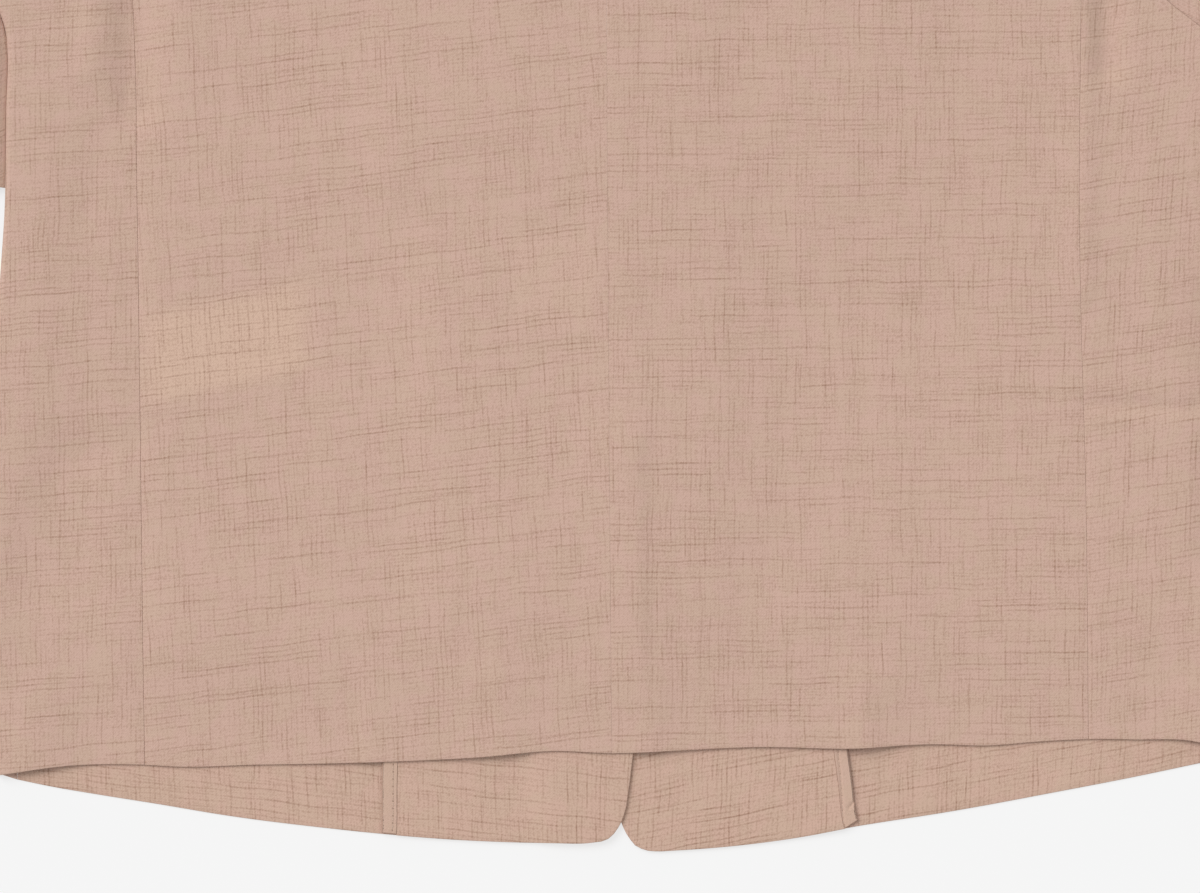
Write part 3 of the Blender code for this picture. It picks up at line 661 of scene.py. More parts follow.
@dataclass
class Front:
    """One front with its turned lapel, its facing and the facing's bound edge, outside down.

    stitch_in is how far in from the tape's inner edge its stitches run, as (y, distance) pairs, and furrow
    how deep they draw it in, furrow_half wide each way. tape_end is how far the tape stops above the hem, at
    its outer and inner edge. facing_lift raises the facing, lift_half wide from its inner edge and fading
    over the heights lift_fade. across is about how wide a front is, in millimetres as binding_width, and
    drape the reach and the blur with which the pieces lie on the pile.
    """

    pattern: SidePattern
    grain: Grain
    facing_grain: Grain
    lapel_grain: Grain
    facing_lift: float
    stitch_in: Table
    furrow: float
    tape_end: tuple[float, float]
    tape_creases: tuple[Crease, ...] = ()
    side_seam_in: float = 8.5 * MM
    binding_width: float = 5.9
    across: float = 255
    furrow_half: float = 0.5 * MM
    lift_half: float = 16 * MM
    lift_fade: tuple[float, float] = (-25 * MM, 60 * MM)
    drape: tuple[float, float] = (28 * MM, 6 * MM)
    finer: int = 5
    seam_rows: int = 24
    arm_rows: int = 11
    break_row: int = 16
    cut: Cut = Cut(0.30, 0.68, 0.155)
    facing_cut: Cut = Cut(0.125, 0.67, 0.055)
    lapel_cut: Cut = Cut(0.10, 0.33, 0.0135)

    def arm_line(self, finer: int) -> Array:
        """The armhole seam, from the side seam to the shoulder, with finer points for each row."""
        seam = self.pattern.under_seam(self.seam_rows * finer + 1, self.side_seam_in)
        return line([in_mm(seam[-1]), *self.pattern.front_arm[1:]], self.arm_rows * finer + 1)

    def shares(self) -> tuple[Array, int, int]:
        """Places of the columns across, and the columns where the binding starts and ends."""
        low = self.pattern.facing_share
        high = low + self.binding_width / self.across
        front = np.linspace(0, low, 7 * self.finer + 1)
        bound = np.linspace(low, high, 5)[1:-1]
        facing = np.linspace(high, 1, 6 * self.finer + 1)
        return np.concatenate([front, bound, facing]), len(front) - 1, len(front) + len(bound)

    def plan(self) -> tuple[Array, int, int]:
        """The front's plan grid, and the binding's first and last columns."""
        seam = self.pattern.under_seam(self.seam_rows * self.finer + 1, self.side_seam_in)
        west = chain(seam, self.arm_line(self.finer))
        broken = self.break_row * self.finer
        roll = [(self.pattern.roll_x(y), y) for y in (ROLL_LOW, FRONT_NECK[1])]
        east = chain(line(self.pattern.front_edge, broken + 1), line(roll, len(west) - broken))
        shares, first, last = self.shares()
        hem = at_shares([in_mm(seam[0]), *self.pattern.front_hem[1:]], shares)
        shoulder = at_shares([self.pattern.front_arm[-1], roll[-1]], shares)
        plan = patch(hem, shoulder, west, east, shares)
        heights, shifts = np.array(self.pattern.facing_shift).T * MM
        near = np.interp(shares, (0, shares[first], 1), (0, 1, 0))
        plan[..., 0] += np.interp(plan[..., 1], heights, shifts) * near
        return plan, first, last

    def tape_plan(self, bound: Array) -> Array:
        """The tape's plan, four times finer, with its lower end drawn up from the hem by tape_end."""
        tape = finer(bound, 4)
        end = np.linspace(*self.tape_end, tape.shape[1]) * MM
        above = tape[..., 1] - tape[0, :, 1]
        tape[..., 1] += end * np.clip(1 - above / (5 * end), 0, 1)
        return tape

    def lapel_plan(self) -> Array:
        """Plan of the turned lapel, from the break up to the gorge, roll line inside."""
        s, rows, cols = self.pattern.hand.value, 14 * self.finer + 1, 4 * self.finer + 1
        start, gorge = self.pattern.lapel_start, 519.5
        inner = line([(self.pattern.roll_x(y), y) for y in (start, gorge)], rows)
        heights = np.linspace(start, 470.0, 6)
        widths = np.interp(heights, [216.0, 260.0, 320.0, 400.0, 470.0], [6.0, 24.0, 43.0, 60.0, 73.0])
        outer = line([(self.pattern.roll_x(y) + s * w, y) for y, w in zip(heights, widths)], rows)
        top = line([(self.pattern.roll_x(gorge), gorge), (s * 84.0, 488.0), (s * 111.0, 470.0)], cols,
                   smooth=False)
        outer[-1] = top[-1]
        return patch(line([in_mm(inner[0]), in_mm(outer[0])], cols), top, inner, outer)

    def lay(self, pile: Pile, finishes: "Finishes") -> None:
        """Lays the lapel, the front, the binding and the facing, one on the other, and dresses them."""
        word = self.pattern.hand.word
        height = pile.draped(*self.drape)
        plan = self.lapel_plan()
        lapel = open_wall(f"lapel_{word}_cloth", plan, height(*xy(plan)) + DOUBLED, DOUBLED, self.lapel_grain)
        dress(lapel, "cloth", finishes.outside, f"lapel_{word}")
        self.lapel_cut.declare(lapel, ["floor"])
        pile.lay(plan, height, DOUBLED)

        height = pile.draped(*self.drape)
        plan, first, last = self.plan()
        front = open_wall(f"front_{word}_cloth", plan, height(*xy(plan)) + CLOTH, CLOTH, self.grain,
                          {"w": 0.4, "n": 0.4})
        dress(front, "cloth_inside", finishes.inside, f"front_{word}")
        self.cut.declare(front, ["floor", lapel.name])
        pile.lay(plan, height, CLOTH)

        bound, facing = plan[:, first:last + 1], plan[:, last:]

        def inside(x: Array, y: Array) -> Array:
            """On the front, raised a little at the hem towards the facing's inner edge."""
            s = self.pattern.hand.value
            edge_x = np.interp(y, facing[:, 0, 1], facing[:, 0, 0])
            near = np.exp(-(np.maximum(s * (edge_x - x), 0) / self.lift_half) ** 2)
            raised = self.facing_lift * near * (1 - ramp(y, *self.lift_fade))
            return height(x, y) + CLOTH + GAP + raised

        bound = self.tape_plan(bound)
        across = bound[:, 0] - bound[:, -1]
        width = np.linalg.norm(across, axis=-1)
        heights, distances = np.array(self.stitch_in).T * MM
        stitch_in = np.interp(bound[:, -1, 1], heights, distances)
        off = np.linalg.norm(bound - bound[:, -1:], axis=-1) - stitch_in[:, None]
        top = inside(*xy(bound)) + BOUND - self.furrow * np.exp(-(off / self.furrow_half) ** 2)
        top = top + sum(crease.at(*xy(bound)) for crease in self.tape_creases)
        tape = open_wall(f"binding_{word}_tape", bound, top, BOUND, self.facing_grain, {"e": 0.5})
        dress(tape, "binding", finishes.binding, f"binding_{word}")
        panel = open_wall(f"facing_{word}_cloth", facing, inside(*xy(facing)) + CLOTH, CLOTH,
                          self.facing_grain, {"w": 0.5})
        dress(panel, "cloth_inside", finishes.inside, f"facing_{word}")
        row = bound[:, -1] + across * (stitch_in / width)[:, None]
        stitches = EdgeStitches(f"binding_{word}_stitches", self.furrow).build(row, inside)
        dress(stitches, "binding", finishes.thread)
        # The holes' second material is painted shade, the shade inside the needle holes
        stitches.data.materials.append(finishes.needle_hole)
        self.facing_cut.declare(panel, [front.name], (tape, stitches))
        pile.lay(bound, inside, BOUND)
        pile.lay(facing, inside, CLOTH)


@dataclass
class EdgeStitches:
    """The row of stitches along a bound edge: a bead of thread, then a flat bead for the hole it goes into,
    in a darker colour that is painted shade.

    sunk is how deep a bead's middle lies, thread and hole are a bead's width, length and height, and the
    row wanders by up to wander.
    """

    name: str
    sunk: float
    pitch: float = 3.1 * MM
    thread: tuple[float, float, float] = (0.55 * MM, 2.1 * MM, 0.4 * MM)
    hole: tuple[float, float, float] = (0.8 * MM, 0.95 * MM, 0.2 * MM)
    wander: float = 0.2 * MM
    around: int = 8
    rings: int = 5

    def beads(self, size: tuple[float, float, float], places: Array) -> Array:
        """Points of an ellipsoid of this size at each place, (places, rings, around, 3)."""
        turn = np.linspace(0, 2 * np.pi, self.around + 1)[None, :-1]
        tilt = np.linspace(-0.46 * np.pi, 0.46 * np.pi, self.rings)[:, None]
        x, y, z = np.cos(tilt) * np.cos(turn), np.sin(tilt) + 0 * turn, np.cos(tilt) * np.sin(turn)
        return places[:, None, None] + np.stack([x, y, z], -1) * np.array(size) / 2

    def build(self, row: Array, under: Height) -> bpy.types.Object:
        """Makes all the stitches as one mesh: first the threads, then the holes with the second material,
        whose darker colour is painted shade.

        Args:
            row: Plan points of the row, from the hem up.
            under: The height of the tape's underside.

        Returns:
            Ellipsoids of thread at every pitch, with the flat ones of the holes half a pitch between them.
        """
        run = run_along(row)
        beads = []
        for size, start in ((self.thread, 1.0), (self.hole, 0.5)):
            at = np.arange(start * self.pitch, run[-1] - 1.1 * self.pitch, self.pitch)
            x, y = (np.interp(at, run, row[:, k]) for k in range(2))
            x = x + self.wander * np.sin(at / (9 * MM))
            beads.append(self.beads(size, np.stack([x, y, under(x, y) + BOUND - self.sunk], -1)))
        points = np.concatenate(beads)
        index = np.arange(self.rings * self.around).reshape(self.rings, self.around)
        quads = facing_out(points[0].reshape(-1, 3), closed_tube(index))
        all_quads = (quads[None] + (np.arange(len(points)) * index.size)[:, None, None]).reshape(-1, 4)
        made = mesh_object(self.name, points.reshape(-1, 3), all_quads)
        which = np.repeat([0, 1], [len(part) * len(quads) for part in beads])
        made.data.polygons.foreach_set("material_index", which)
        return made


@dataclass
class CoatButton:
    """The one button, face down under the right front, with its rim, its dish and four holes."""

    centre: tuple[float, float] = (0.0, 158.0)
    radius: float = 10 * MM
    thick: float = 1.8 * MM
    hole_out: float = 2.0 * MM
    hole_radius: float = 0.9 * MM

    def profile(self, r: Array, x: Array, y: Array) -> Array:
        """Height of the face above the middle: a flat rim ring, a dish inside it and four pits."""
        dish = 0.45 * MM * (1 - ramp(r, 0.62 * self.radius, 0.78 * self.radius))
        edge = 0.55 * MM * ramp(r, 0.86 * self.radius, self.radius) ** 2
        pits = np.zeros_like(r)
        for k in range(4):
            a = math.pi / 4 + k * math.pi / 2
            away = np.hypot(x - self.hole_out * math.cos(a), y - self.hole_out * math.sin(a))
            pits += 0.3 * MM * (1 - ramp(away, 0.7 * self.hole_radius, self.hole_radius))
        return self.thick / 2 - dish - edge - pits

    def build(self) -> bpy.types.Object:
        """Makes the button: a disc of rings about its middle, for each face, joined round the rim."""
        rings, around = 30, 72
        r = np.linspace(0.02, 1, rings)[:, None] * self.radius
        turn = np.linspace(0, 2 * np.pi, around + 1)[None, :-1]
        x, y = r * np.cos(turn), r * np.sin(turn)
        z = self.profile(np.broadcast_to(r, x.shape), x, y)
        face = np.stack([x, y, z], -1)
        back = face[::-1] * np.array([1, 1, -1])
        grid = np.concatenate([face, back]) + np.array([*self.centre, 0]) * MM + (0, 0, self.thick / 2)
        points = grid.reshape(-1, 3)
        faces = closed_tube(np.arange(2 * rings * around).reshape(2 * rings, around))
        return mesh_object("coat_button", points, facing_out(points, faces))

    def lay(self, pile: Pile, finishes: "Finishes") -> None:
        """Puts the button on the surface and dresses it."""
        dress(self.build(), "button", finishes.horn, "button")
        turn = np.linspace(0, 2 * np.pi, 33)[:-1]
        x, y = self.centre[0] * MM, self.centre[1] * MM
        pile.put(np.stack([x + self.radius * np.cos(turn), y + self.radius * np.sin(turn)], 1),
                 self.thick + GAP)


# ---------------------------------------------------------------- back, sides, sleeves and collar


@dataclass
class BackAndSides:
    """The back panels and the side panels, which lie on the fronts and turn under at the side folds.

    close and loose are the reach and the blur of the two drapes that their height lies between. A side
    fold is as high as the cloth top_in millimetres inside it, and its panel ends under_in inside it.
    """

    creases: tuple[Crease, ...]
    hem_lifts: tuple[Crease, ...]
    back_grain: dict[Hand, Grain]
    side_grain: dict[Hand, Grain]
    seam_reach: dict[Hand, float]
    side_lift: dict[Hand, float]
    loft: float = 2.3 * MM
    hem_loft: float = 0.3 * MM
    dip: float = 0.2 * MM
    centre_dip: float = 0.08 * MM
    swell: float = 0.45 * MM
    neck_stand: float = 5.6 * MM
    close: tuple[float, float] = (10 * MM, 8 * MM)
    loose: tuple[float, float] = (34 * MM, 16 * MM)
    top_in: float = 2.5
    under_in: float = 8.44 * MM
    seam_rows: int = 24 * FINER
    arm_low: int = 4 * FINER
    arm_high: int = 7 * FINER
    back_cols: int = 12 * FINER
    fold_steps: int = 12
    back_cut: Cut = Cut(0.225, 0.635, 0.132)
    side_cut: Cut = Cut(0.095, 0.42, 0.031)

    def height_over(self, pile: Pile) -> Height:
        """The height of the back's underside.

        Args:
            pile: The fronts, already laid.

        Returns:
            Between a close and a loose drape over the pile, closer at the hem, plus the loft of the slack
            cloth, its creases and swell, and the lifts of the hem.
        """
        neck = np.array([(0.0, 297.0), FRONT_NECK, (-FRONT_NECK[0], FRONT_NECK[1])])
        pile.put(neck * MM, self.neck_stand)
        close, loose = pile.draped(*self.close), pile.draped(*self.loose)

        def height(x: Array, y: Array) -> Array:
            """The sum that height_over names, never closer than a tenth of a millimetre."""
            under = close(x, y)
            under = under + (np.maximum(loose(x, y), under) - under) * (0.3 + 0.4 * ramp(y, 5 * MM, 60 * MM))
            body = ramp(y, 0, 60 * MM) * (1 - ramp(y, 460 * MM, 550 * MM))
            body = body * (1 - 0.85 * ramp(under, 3.5 * MM, 7.5 * MM))
            side_lift = np.where(x < 0, self.side_lift[Hand.LEFT], self.side_lift[Hand.RIGHT])
            loft = self.loft * body + side_lift * ramp(np.abs(x), 215 * MM, 252 * MM)
            folds = sum(crease.at(x, y) for crease in self.creases) * ramp(y, 4 * MM, 40 * MM)
            folds = folds + unevenness(x, y, self.swell) * ramp(y, 8 * MM, 50 * MM)
            lifts = sum(lift.at(x, y) for lift in self.hem_lifts)
            return under + np.maximum(self.hem_loft + loft + folds + lifts, 0.1 * MM)

        return height

    def pressed(self, plan: Array, dips: dict[int, float]) -> Array:
        """How far the cloth dips beside its seams, with small uneven puckers.

        Args:
            plan: The panel's plan grid.
            dips: How deep it dips, for each grid column that is a seam.

        Returns:
            For each seam its dip times exp(-d/2.5 mm) down, and a ripple 11 mm long that fades over 7 mm.
        """
        total = np.zeros(plan.shape[:2])
        for column, dip in dips.items():
            d = np.linalg.norm(plan - plan[:, [column]], axis=-1)
            y = plan[..., 1]
            wave = np.sin(2 * math.pi * y / (11 * MM) + 3 * np.sin(y / (23 * MM)))
            strength = 0.5 + 0.5 * np.sin(y / (41 * MM) + column)
            total += dip * (0.4 * strength * wave * np.exp(-d / (7 * MM)) - np.exp(-d / (2.5 * MM)))
        return total

    def back_plan(self, side: SidePattern) -> Array:
        """Plan of a back panel, from its side-back seam and armhole to the centre back."""
        s = side.hand.value
        west = chain(line(side.seam, self.seam_rows + 1), line(side.arm_high, self.arm_high + 1))
        east = line(CENTRE_BACK, len(west))
        south = between(BACK_HEM, west[0, 0] / MM, east[0, 0] / MM, self.back_cols + 1)
        south[0], south[-1] = west[0], east[0]
        neck = [(s * NECK_POINT[0], NECK_POINT[1]), (s * 48.0, 585.5), (s * 22.0, 579.3), (0.0, 578.0)]
        shoulder = line([side.arm_high[-1], neck[0]], self.back_cols - 5 * FINER + 1)
        north = chain(shoulder, line(neck, 5 * FINER + 1))
        return patch(south, north, west, east)

    def lay_back(self, side: SidePattern, height: Height, pile: Pile, finishes: "Finishes") -> None:
        """Lays a back panel and dresses it."""
        word = side.hand.word
        plan = self.back_plan(side)
        top = height(*xy(plan)) + CLOTH + self.pressed(plan, {0: self.dip, -1: self.centre_dip})
        sewn = {"n": 0.2, "w": self.seam_reach[side.hand], "e": 0.05}
        back = open_wall(f"back_{word}_cloth", plan, top, CLOTH, self.back_grain[side.hand], sewn,
                         faded=faded_patches(*xy(plan)))
        piece = dress(back, "cloth", finishes.outside, f"back_{word}")
        self.back_cut.declare(piece, [f"front_{word}_cloth", f"facing_{word}_cloth"])
        pile.lay(plan, height, CLOTH)

    def side_grid(self, side: SidePattern, height: Height) -> tuple[Array, Array, Array]:
        """Outer points, normals and pressed-flat plan of a side panel.

        Args:
            side: The side's pattern.
            height: The height of the back's underside.

        Returns:
            The top from the side-back seam, the half-round side fold, and the strip turned under.
        """
        edge = line(side.fold, self.seam_rows + 1)
        n = outward(edge, np.zeros(2))
        top = height(*xy(edge - n * self.top_in * MM)) + CLOTH
        flat = edge - n * (top / 2)[:, None]
        seam = line(side.seam, self.seam_rows + 1)
        north = line(side.arm_low, self.arm_low + 1)
        north = north if np.allclose(north[0], seam[-1]) else north[::-1].copy()
        north += (flat[-1] - north[-1]) * ramp(np.linspace(0, 1, len(north)), 0.86, 1)[:, None]
        south = between(BACK_HEM, seam[0, 0] / MM, flat[0, 0] / MM, self.arm_low + 1)
        south += (flat[0] - south[-1]) * np.linspace(0, 1, len(south))[:, None]
        plan = patch(south, north, seam, flat)
        surface = height(*xy(plan)) + CLOTH + self.pressed(plan, {0: self.dip})
        surface[:, -1] = top
        points, normals = layer(inset(plan, "wn"), surface, 1)
        arc, arc_n = fold(edge, n, top, self.fold_steps)
        share = np.linspace(0, 1, 6)[None, 1:, None]
        end = side.under_seam(self.seam_rows + 1, self.under_in)
        under, under_n = layer(flat[:, None] * (1 - share) + end[:, None] * share, 0.0, -1)
        grid = np.concatenate([points, arc[:, 1:], under], 1)
        normal = np.concatenate([normals, arc_n[:, 1:], under_n], 1)
        turned = unrolled(grid[:, plan.shape[1] - 1:], flat, n)[:, 1:]
        return grid, normal, np.concatenate([plan, turned], 1)

    def lay_side(self, side: SidePattern, height: Height, finishes: "Finishes") -> None:
        """Lays a side panel and dresses it."""
        word = side.hand.word
        grid, normal, cut = self.side_grid(side, height)
        sewn = {"e": 0.4, "w": self.seam_reach[side.hand]}
        panel = Wall(f"side_{word}_cloth", grid, normal, cut, CLOTH, self.side_grain[side.hand], sewn)
        piece = dress(panel.build(), "cloth", finishes.outside, f"side_{word}")
        self.side_cut.declare(piece, ["floor", f"front_{word}_cloth"])


def faded_patches(x: Array, y: Array) -> Array:
    """Where the cloth has faded: two soft slanting blocks, each the product of a band along and across."""
    total = np.zeros_like(x)
    for x0, y0, half_x, half_y, slant, strength in (
            (-163.0, 172.5, 36.0, 20.0, 0.22, 1.0), (-24.0, 199.5, 18.0, 21.0, 0.05, 0.25)):
        across = (x - x0 * MM) / (half_x * MM)
        up = (y - y0 * MM - slant * (x - x0 * MM)) / (half_y * MM)
        total += strength * (1 - ramp(np.abs(across), 0.72, 1.16)) * (1 - ramp(np.abs(up), 0.66, 1.2))
    return total


@dataclass
class Sleeves:
    """The sleeves, flat tubes beside the body.

    The top sleeve is the tube's lower layer, its outer fold and a strip of the upper layer; the under sleeve
    is the rest of that layer. roll is how much higher than the tube the cloth stands where it rolls down to
    the inner edge, and sunk how much lower it lies beside the armhole. There its seam lies seam_below under
    the body's top, within seam_limits.
    """

    grain: dict[Hand, Grain]
    folds: tuple[Crease, ...]
    height: float = 4.0 * MM
    seam_top: float = 2.2 * MM
    roll: float = 2.5 * MM
    sunk: float = 1.6 * MM
    clear: float = 0.06 * MM
    seam_below: float = 1.4 * MM
    seam_limits: tuple[float, float] = (2.6 * MM, 8 * MM)
    edge_inset: float = 0.03 * MM
    finer: int = 6
    low_rows: int = 5
    arm_low: int = 4
    arm_high: int = 7
    cols: int = 8
    strip: int = 2
    fold_steps: int = 10
    top_cut: Cut = Cut(0.27, 0.46, 0.075)
    under_cut: Cut = Cut(0.18, 0.36, 0.045)

    def inner_edge(self, side: SidePattern) -> Array:
        """The tube's inner edge, beside the body's side fold, from the underarm to the hem."""
        body = line(side.fold, 400)
        body = (body + outward(body, np.zeros(2)) * self.clear)[::-1] / MM
        body = body[body[:, 1] >= side.sleeve_hem[0][1]]
        inner = line([tuple(p) for p in body[::13]] + [tuple(body[-1])], self.low_rows * self.finer + 1)
        inner[0, 1] += self.clear
        return inner

    def plans(self, side: SidePattern, front_arm: Array) -> tuple[Array, Array, Array, Array, Array]:
        """Plan grids of both layers, the back armhole, the outer fold's line and its normals."""
        k, inner = self.finer, self.inner_edge(side)
        low, high = line(side.arm_low, self.arm_low * k + 1), line(side.arm_high, self.arm_high * k + 1)
        arm = chain(low, high)[::-1]
        at = np.linspace(len(arm) - 1 - k, len(arm) - 1, 2 * k + 1)
        bridge = np.stack([np.interp(at, np.arange(len(arm)), arm[:, i]) for i in range(2)], 1)
        bridge += (inner[0] - arm[-1]) * np.linspace(0, 1, 2 * k + 1)[:, None]
        upper_west = chain(arm[:-k], bridge, inner)
        lower_west = chain(front_arm[::-1], np.linspace(front_arm[0], inner[0], k + 1), inner)
        outer = line(side.sleeve_out, len(upper_west))
        n = outward(outer, inner.mean(axis=0))
        flat = outer - n * self.height / 2
        shares = np.linspace(0, 1, self.cols * k + 1) ** 1.5
        hem = at_shares([in_mm(inner[-1]), *side.sleeve_hem[1:-1], in_mm(flat[-1])], shares)
        grids = []
        for west in (upper_west, lower_west):
            start = at_shares([in_mm(west[0]), in_mm(flat[0])], shares)
            grids.append(inset(patch(start, hem, west, flat, shares), "w", self.edge_inset))
        return grids[0], grids[1], arm, outer, n

    def tops(self, upper: Array, arm: Array, body_height: Height) -> Array:
        """Height of the upper layer: the body's at the armhole, then the tube's own, with its soft folds."""
        row, last = np.arange(len(upper)), (self.arm_low + self.arm_high - 1) * self.finer
        seam = np.clip(body_height(*xy(arm)) + CLOTH - self.seam_below, *self.seam_limits)
        seam = seam[np.minimum(row, last)]
        fade = ramp(row, last, last + 3 * self.finer)
        at_edge = seam * (1 - fade) + self.seam_top * fade
        off_edge = np.linalg.norm(upper - upper[:, :1], axis=-1)
        inside = ramp(off_edge, 0, 20 * MM)
        top = at_edge[:, None] * (1 - inside) + self.height * inside
        top = top + self.roll * fade[:, None] * np.exp(-((off_edge - 6 * MM) / (4 * MM)) ** 2)
        sunk = self.sunk * (1 - fade[:, None]) * np.exp(-((off_edge - 8 * MM) / (5 * MM)) ** 2)
        top = np.maximum(top - sunk, 2 * MM)
        off_fold = ramp(np.linalg.norm(upper - upper[:, -1:], axis=-1), 3 * MM, 30 * MM)
        ruffle = sum(crease.at(*xy(upper)) for crease in self.folds) + unevenness(*xy(upper), 0.5 * MM)
        top = top + np.clip(ruffle, -1.2 * MM, 2 * MM) * off_fold * inside
        top[:, -1] = self.height
        return top

    def lay(self, side: SidePattern, front_arm: Array, body_height: Height, finishes: "Finishes") -> None:
        """Lays both sleeve pieces of a side and dresses them."""
        word = side.hand.word
        upper, lower, arm, outer, n = self.plans(side, front_arm)
        top = self.tops(upper, arm, body_height)
        seam = (self.cols - self.strip) * self.finer
        under_plan = inset(upper[:, :seam + 1], "e")
        points, normal = layer(under_plan, top[:, :seam + 1], 1)
        grain, sewn = self.grain[side.hand], {"e": 0.4}
        under = Wall(f"sleeve_{word}_under_cloth", points, normal, under_plan, CLOTH, grain, sewn)
        under_piece = dress(under.build(), "cloth", finishes.outside, f"sleeve_{word}_under")
        strip, low = layer(inset(upper[:, seam:], "w"), top[:, seam:], 1), layer(lower, 0.0, -1)
        arc = fold(outer, n, np.full(len(outer), self.height), self.fold_steps)
        grid, normal = (np.concatenate([low[k], arc[k][:, -2:0:-1], strip[k][:, ::-1]], 1) for k in (0, 1))
        turned = unrolled(grid[:, lower.shape[1] - 1:], lower[:, -1], n)[:, 1:]
        cut = np.concatenate([lower, turned], 1)
        round_fold = Wall(f"sleeve_{word}_top_cloth", grid, normal, cut, CLOTH, grain, sewn)
        piece = dress(round_fold.build(), "cloth", finishes.outside, f"sleeve_{word}_top")
        self.top_cut.declare(piece, ["floor"])
        self.under_cut.declare(under_piece, [piece.name])


@dataclass
class Collar:
    """The turned-down collar: one doubled ribbon over the back, round both shoulders, to the notches."""

    grain: Grain
    depth: float = 43.0
    drape: tuple[float, float] = (18 * MM, 4 * MM)
    fold_steps: int = 12
    finer: int = 6
    cut: Cut = Cut(0.50, 0.07, 0.026)

    def shoulder(self, sign: int) -> Array:
        """Where the collar turns over a shoulder, from its roll to its edge."""
        return line([(sign * 60.0, 603.0), (sign * 112.0, 588.5)], 4 * self.finer + 1)

    def end_plan(self, pattern: SidePattern) -> Array:
        """Plan of the collar under a front, from the shoulder down to its end at the notch."""
        s, k = pattern.hand.value, self.finer
        shoulder = self.shoulder(s)
        end = line([(pattern.roll_x(521.0), 521.0), (s * 84.0, 490.5), (s * 106.0, 505.0)], 4 * k + 1,
                   smooth=False)
        inner = line([in_mm(shoulder[0]), in_mm(end[0])], 5 * k + 1)
        outer = line([in_mm(shoulder[-1]), (s * 112.0, 545.0), in_mm(end[-1])], 5 * k + 1)
        return patch(shoulder, end, inner, outer)

    def back_plan(self) -> Array:
        """Plan of the collar over the back, from the left shoulder to the right one."""
        count = 12 * self.finer + 1
        roll = line([(-60.0, 603.0), (-35.0, 589.0), (0.0, 583.0), (35.0, 589.0), (60.0, 603.0)], count)
        edge = line([(-112.0, 588.5), (-84.0, 556.0), (0.0, 583.0 - self.depth), (84.0, 556.0),
                     (112.0, 588.5)], count)
        return patch(self.shoulder(-1), self.shoulder(1), roll, edge)

    def lay(self, pile: Pile, finishes: "Finishes") -> None:
        """Lays the collar over the back and round the shoulders, and dresses it."""
        back = self.back_plan()
        height = pile.draped(*self.drape)
        over = layer(back, height(*xy(back)) + DOUBLED, 1)
        turns = []
        for side, at in ((LEFT, 0), (RIGHT, -1)):
            end = layer(self.end_plan(side), 0.0, -1)
            n = outward(back[at], np.zeros(2))
            top = over[0][at, :, 2]
            arc = fold(back[at] + n * top[:, None] / 2, n, top, self.fold_steps)
            turns.append([np.concatenate([arc[k].swapaxes(0, 1)[1:-1], end[k]]) for k in (0, 1)])
        left, right = turns
        points, normals = (np.concatenate([left[k][::-1], over[k], right[k]]) for k in (0, 1))
        across = run_along(points, 1)
        along = run_along(points[:, points.shape[1] // 2])
        cut = np.stack([np.broadcast_to(along[:, None], across.shape), across], -1)
        ribbon = Wall("collar_cloth", points, normals, cut, DOUBLED, self.grain)
        piece = dress(ribbon.build(), "cloth", finishes.outside, "collar")
        self.cut.declare(piece, ["back_left_cloth", "back_right_cloth", "floor"])


# ---------------------------------------------------------------- finishes

Socket = bpy.types.NodeSocket
Value = Socket | float | tuple


def linear(red: int, green: int, blue: int) -> tuple[float, float, float, float]:
    """The scene-linear colour of a display colour given from 0 to 255."""
    c = np.array([red, green, blue]) / 255
    return (*np.where(c > 0.04045, ((c + 0.055) / 1.055) ** 2.4, c / 12.92).tolist(), 1.0)


class Steps:
    """Adds nodes to a tree, so that a finish reads as the list of its steps."""

    def __init__(self, tree: bpy.types.NodeTree) -> None:
        """Works on this tree."""
        self.tree = tree

    def feed(self, node: bpy.types.Node, inputs: dict[str | int, Value]) -> None:
        """Sets a node's inputs, by name or number, or links them where they are given a socket."""
        for key, value in inputs.items():
            if isinstance(value, Socket):
                self.tree.links.new(value, node.inputs[key])
            else:
                node.inputs[key].default_value = value

    def node(self, kind: str, inputs: dict[str | int, Value] | None = None,
             **settings: object) -> bpy.types.Node:
        """Adds a node.

        Args:
            kind: The node's type, without its first word ShaderNode.
            inputs: What is set on its inputs or linked to them, by name or number.
            **settings: Its properties.

        Returns:
            The node.
        """
        made = self.tree.nodes.new("ShaderNode" + kind)
        for name, value in settings.items():
            setattr(made, name, value)
        self.feed(made, inputs or {})
        return made

    def math(self, operation: str, *values: Value) -> Socket:
        """The result of a Math node."""
        return self.node("Math", dict(enumerate(values)), operation=operation).outputs[0]

    def place(self, x: Value, y: Value) -> Socket:
        """A vector of two numbers."""
        return self.node("CombineXYZ", {0: x, 1: y}).outputs[0]

    def noise(self, vector: Socket, scale: float, detail: float = 2.0) -> Socket:
        """Noise in two dimensions, from 0 to 1, mostly near a half."""
        inputs = {"Vector": vector, "Scale": scale, "Detail": detail}
        return self.node("TexNoise", inputs, noise_dimensions="2D").outputs[0]

    def step(self, value: Value, low: Value, high: Value) -> Socket:
        """A smooth step, from 0 at low to 1 at high."""
        inputs = {"Value": value, "From Min": low, "From Max": high}
        return self.node("MapRange", inputs, interpolation_type="SMOOTHSTEP").outputs[0]

    def blend(self, share: Value, first: Value, second: Value) -> Socket:
        """A colour that goes from the first to the second with share."""
        return self.node("Mix", {0: share, 6: first, 7: second}, data_type="RGBA").outputs[2]


def new_material(name: str) -> tuple[bpy.types.Material, Steps, bpy.types.Node]:
    """Makes a material, and gives it with its steps and its shader."""
    made = bpy.data.materials.new(name)
    made.use_nodes = True
    return made, Steps(made.node_tree), made.node_tree.nodes["Principled BSDF"]


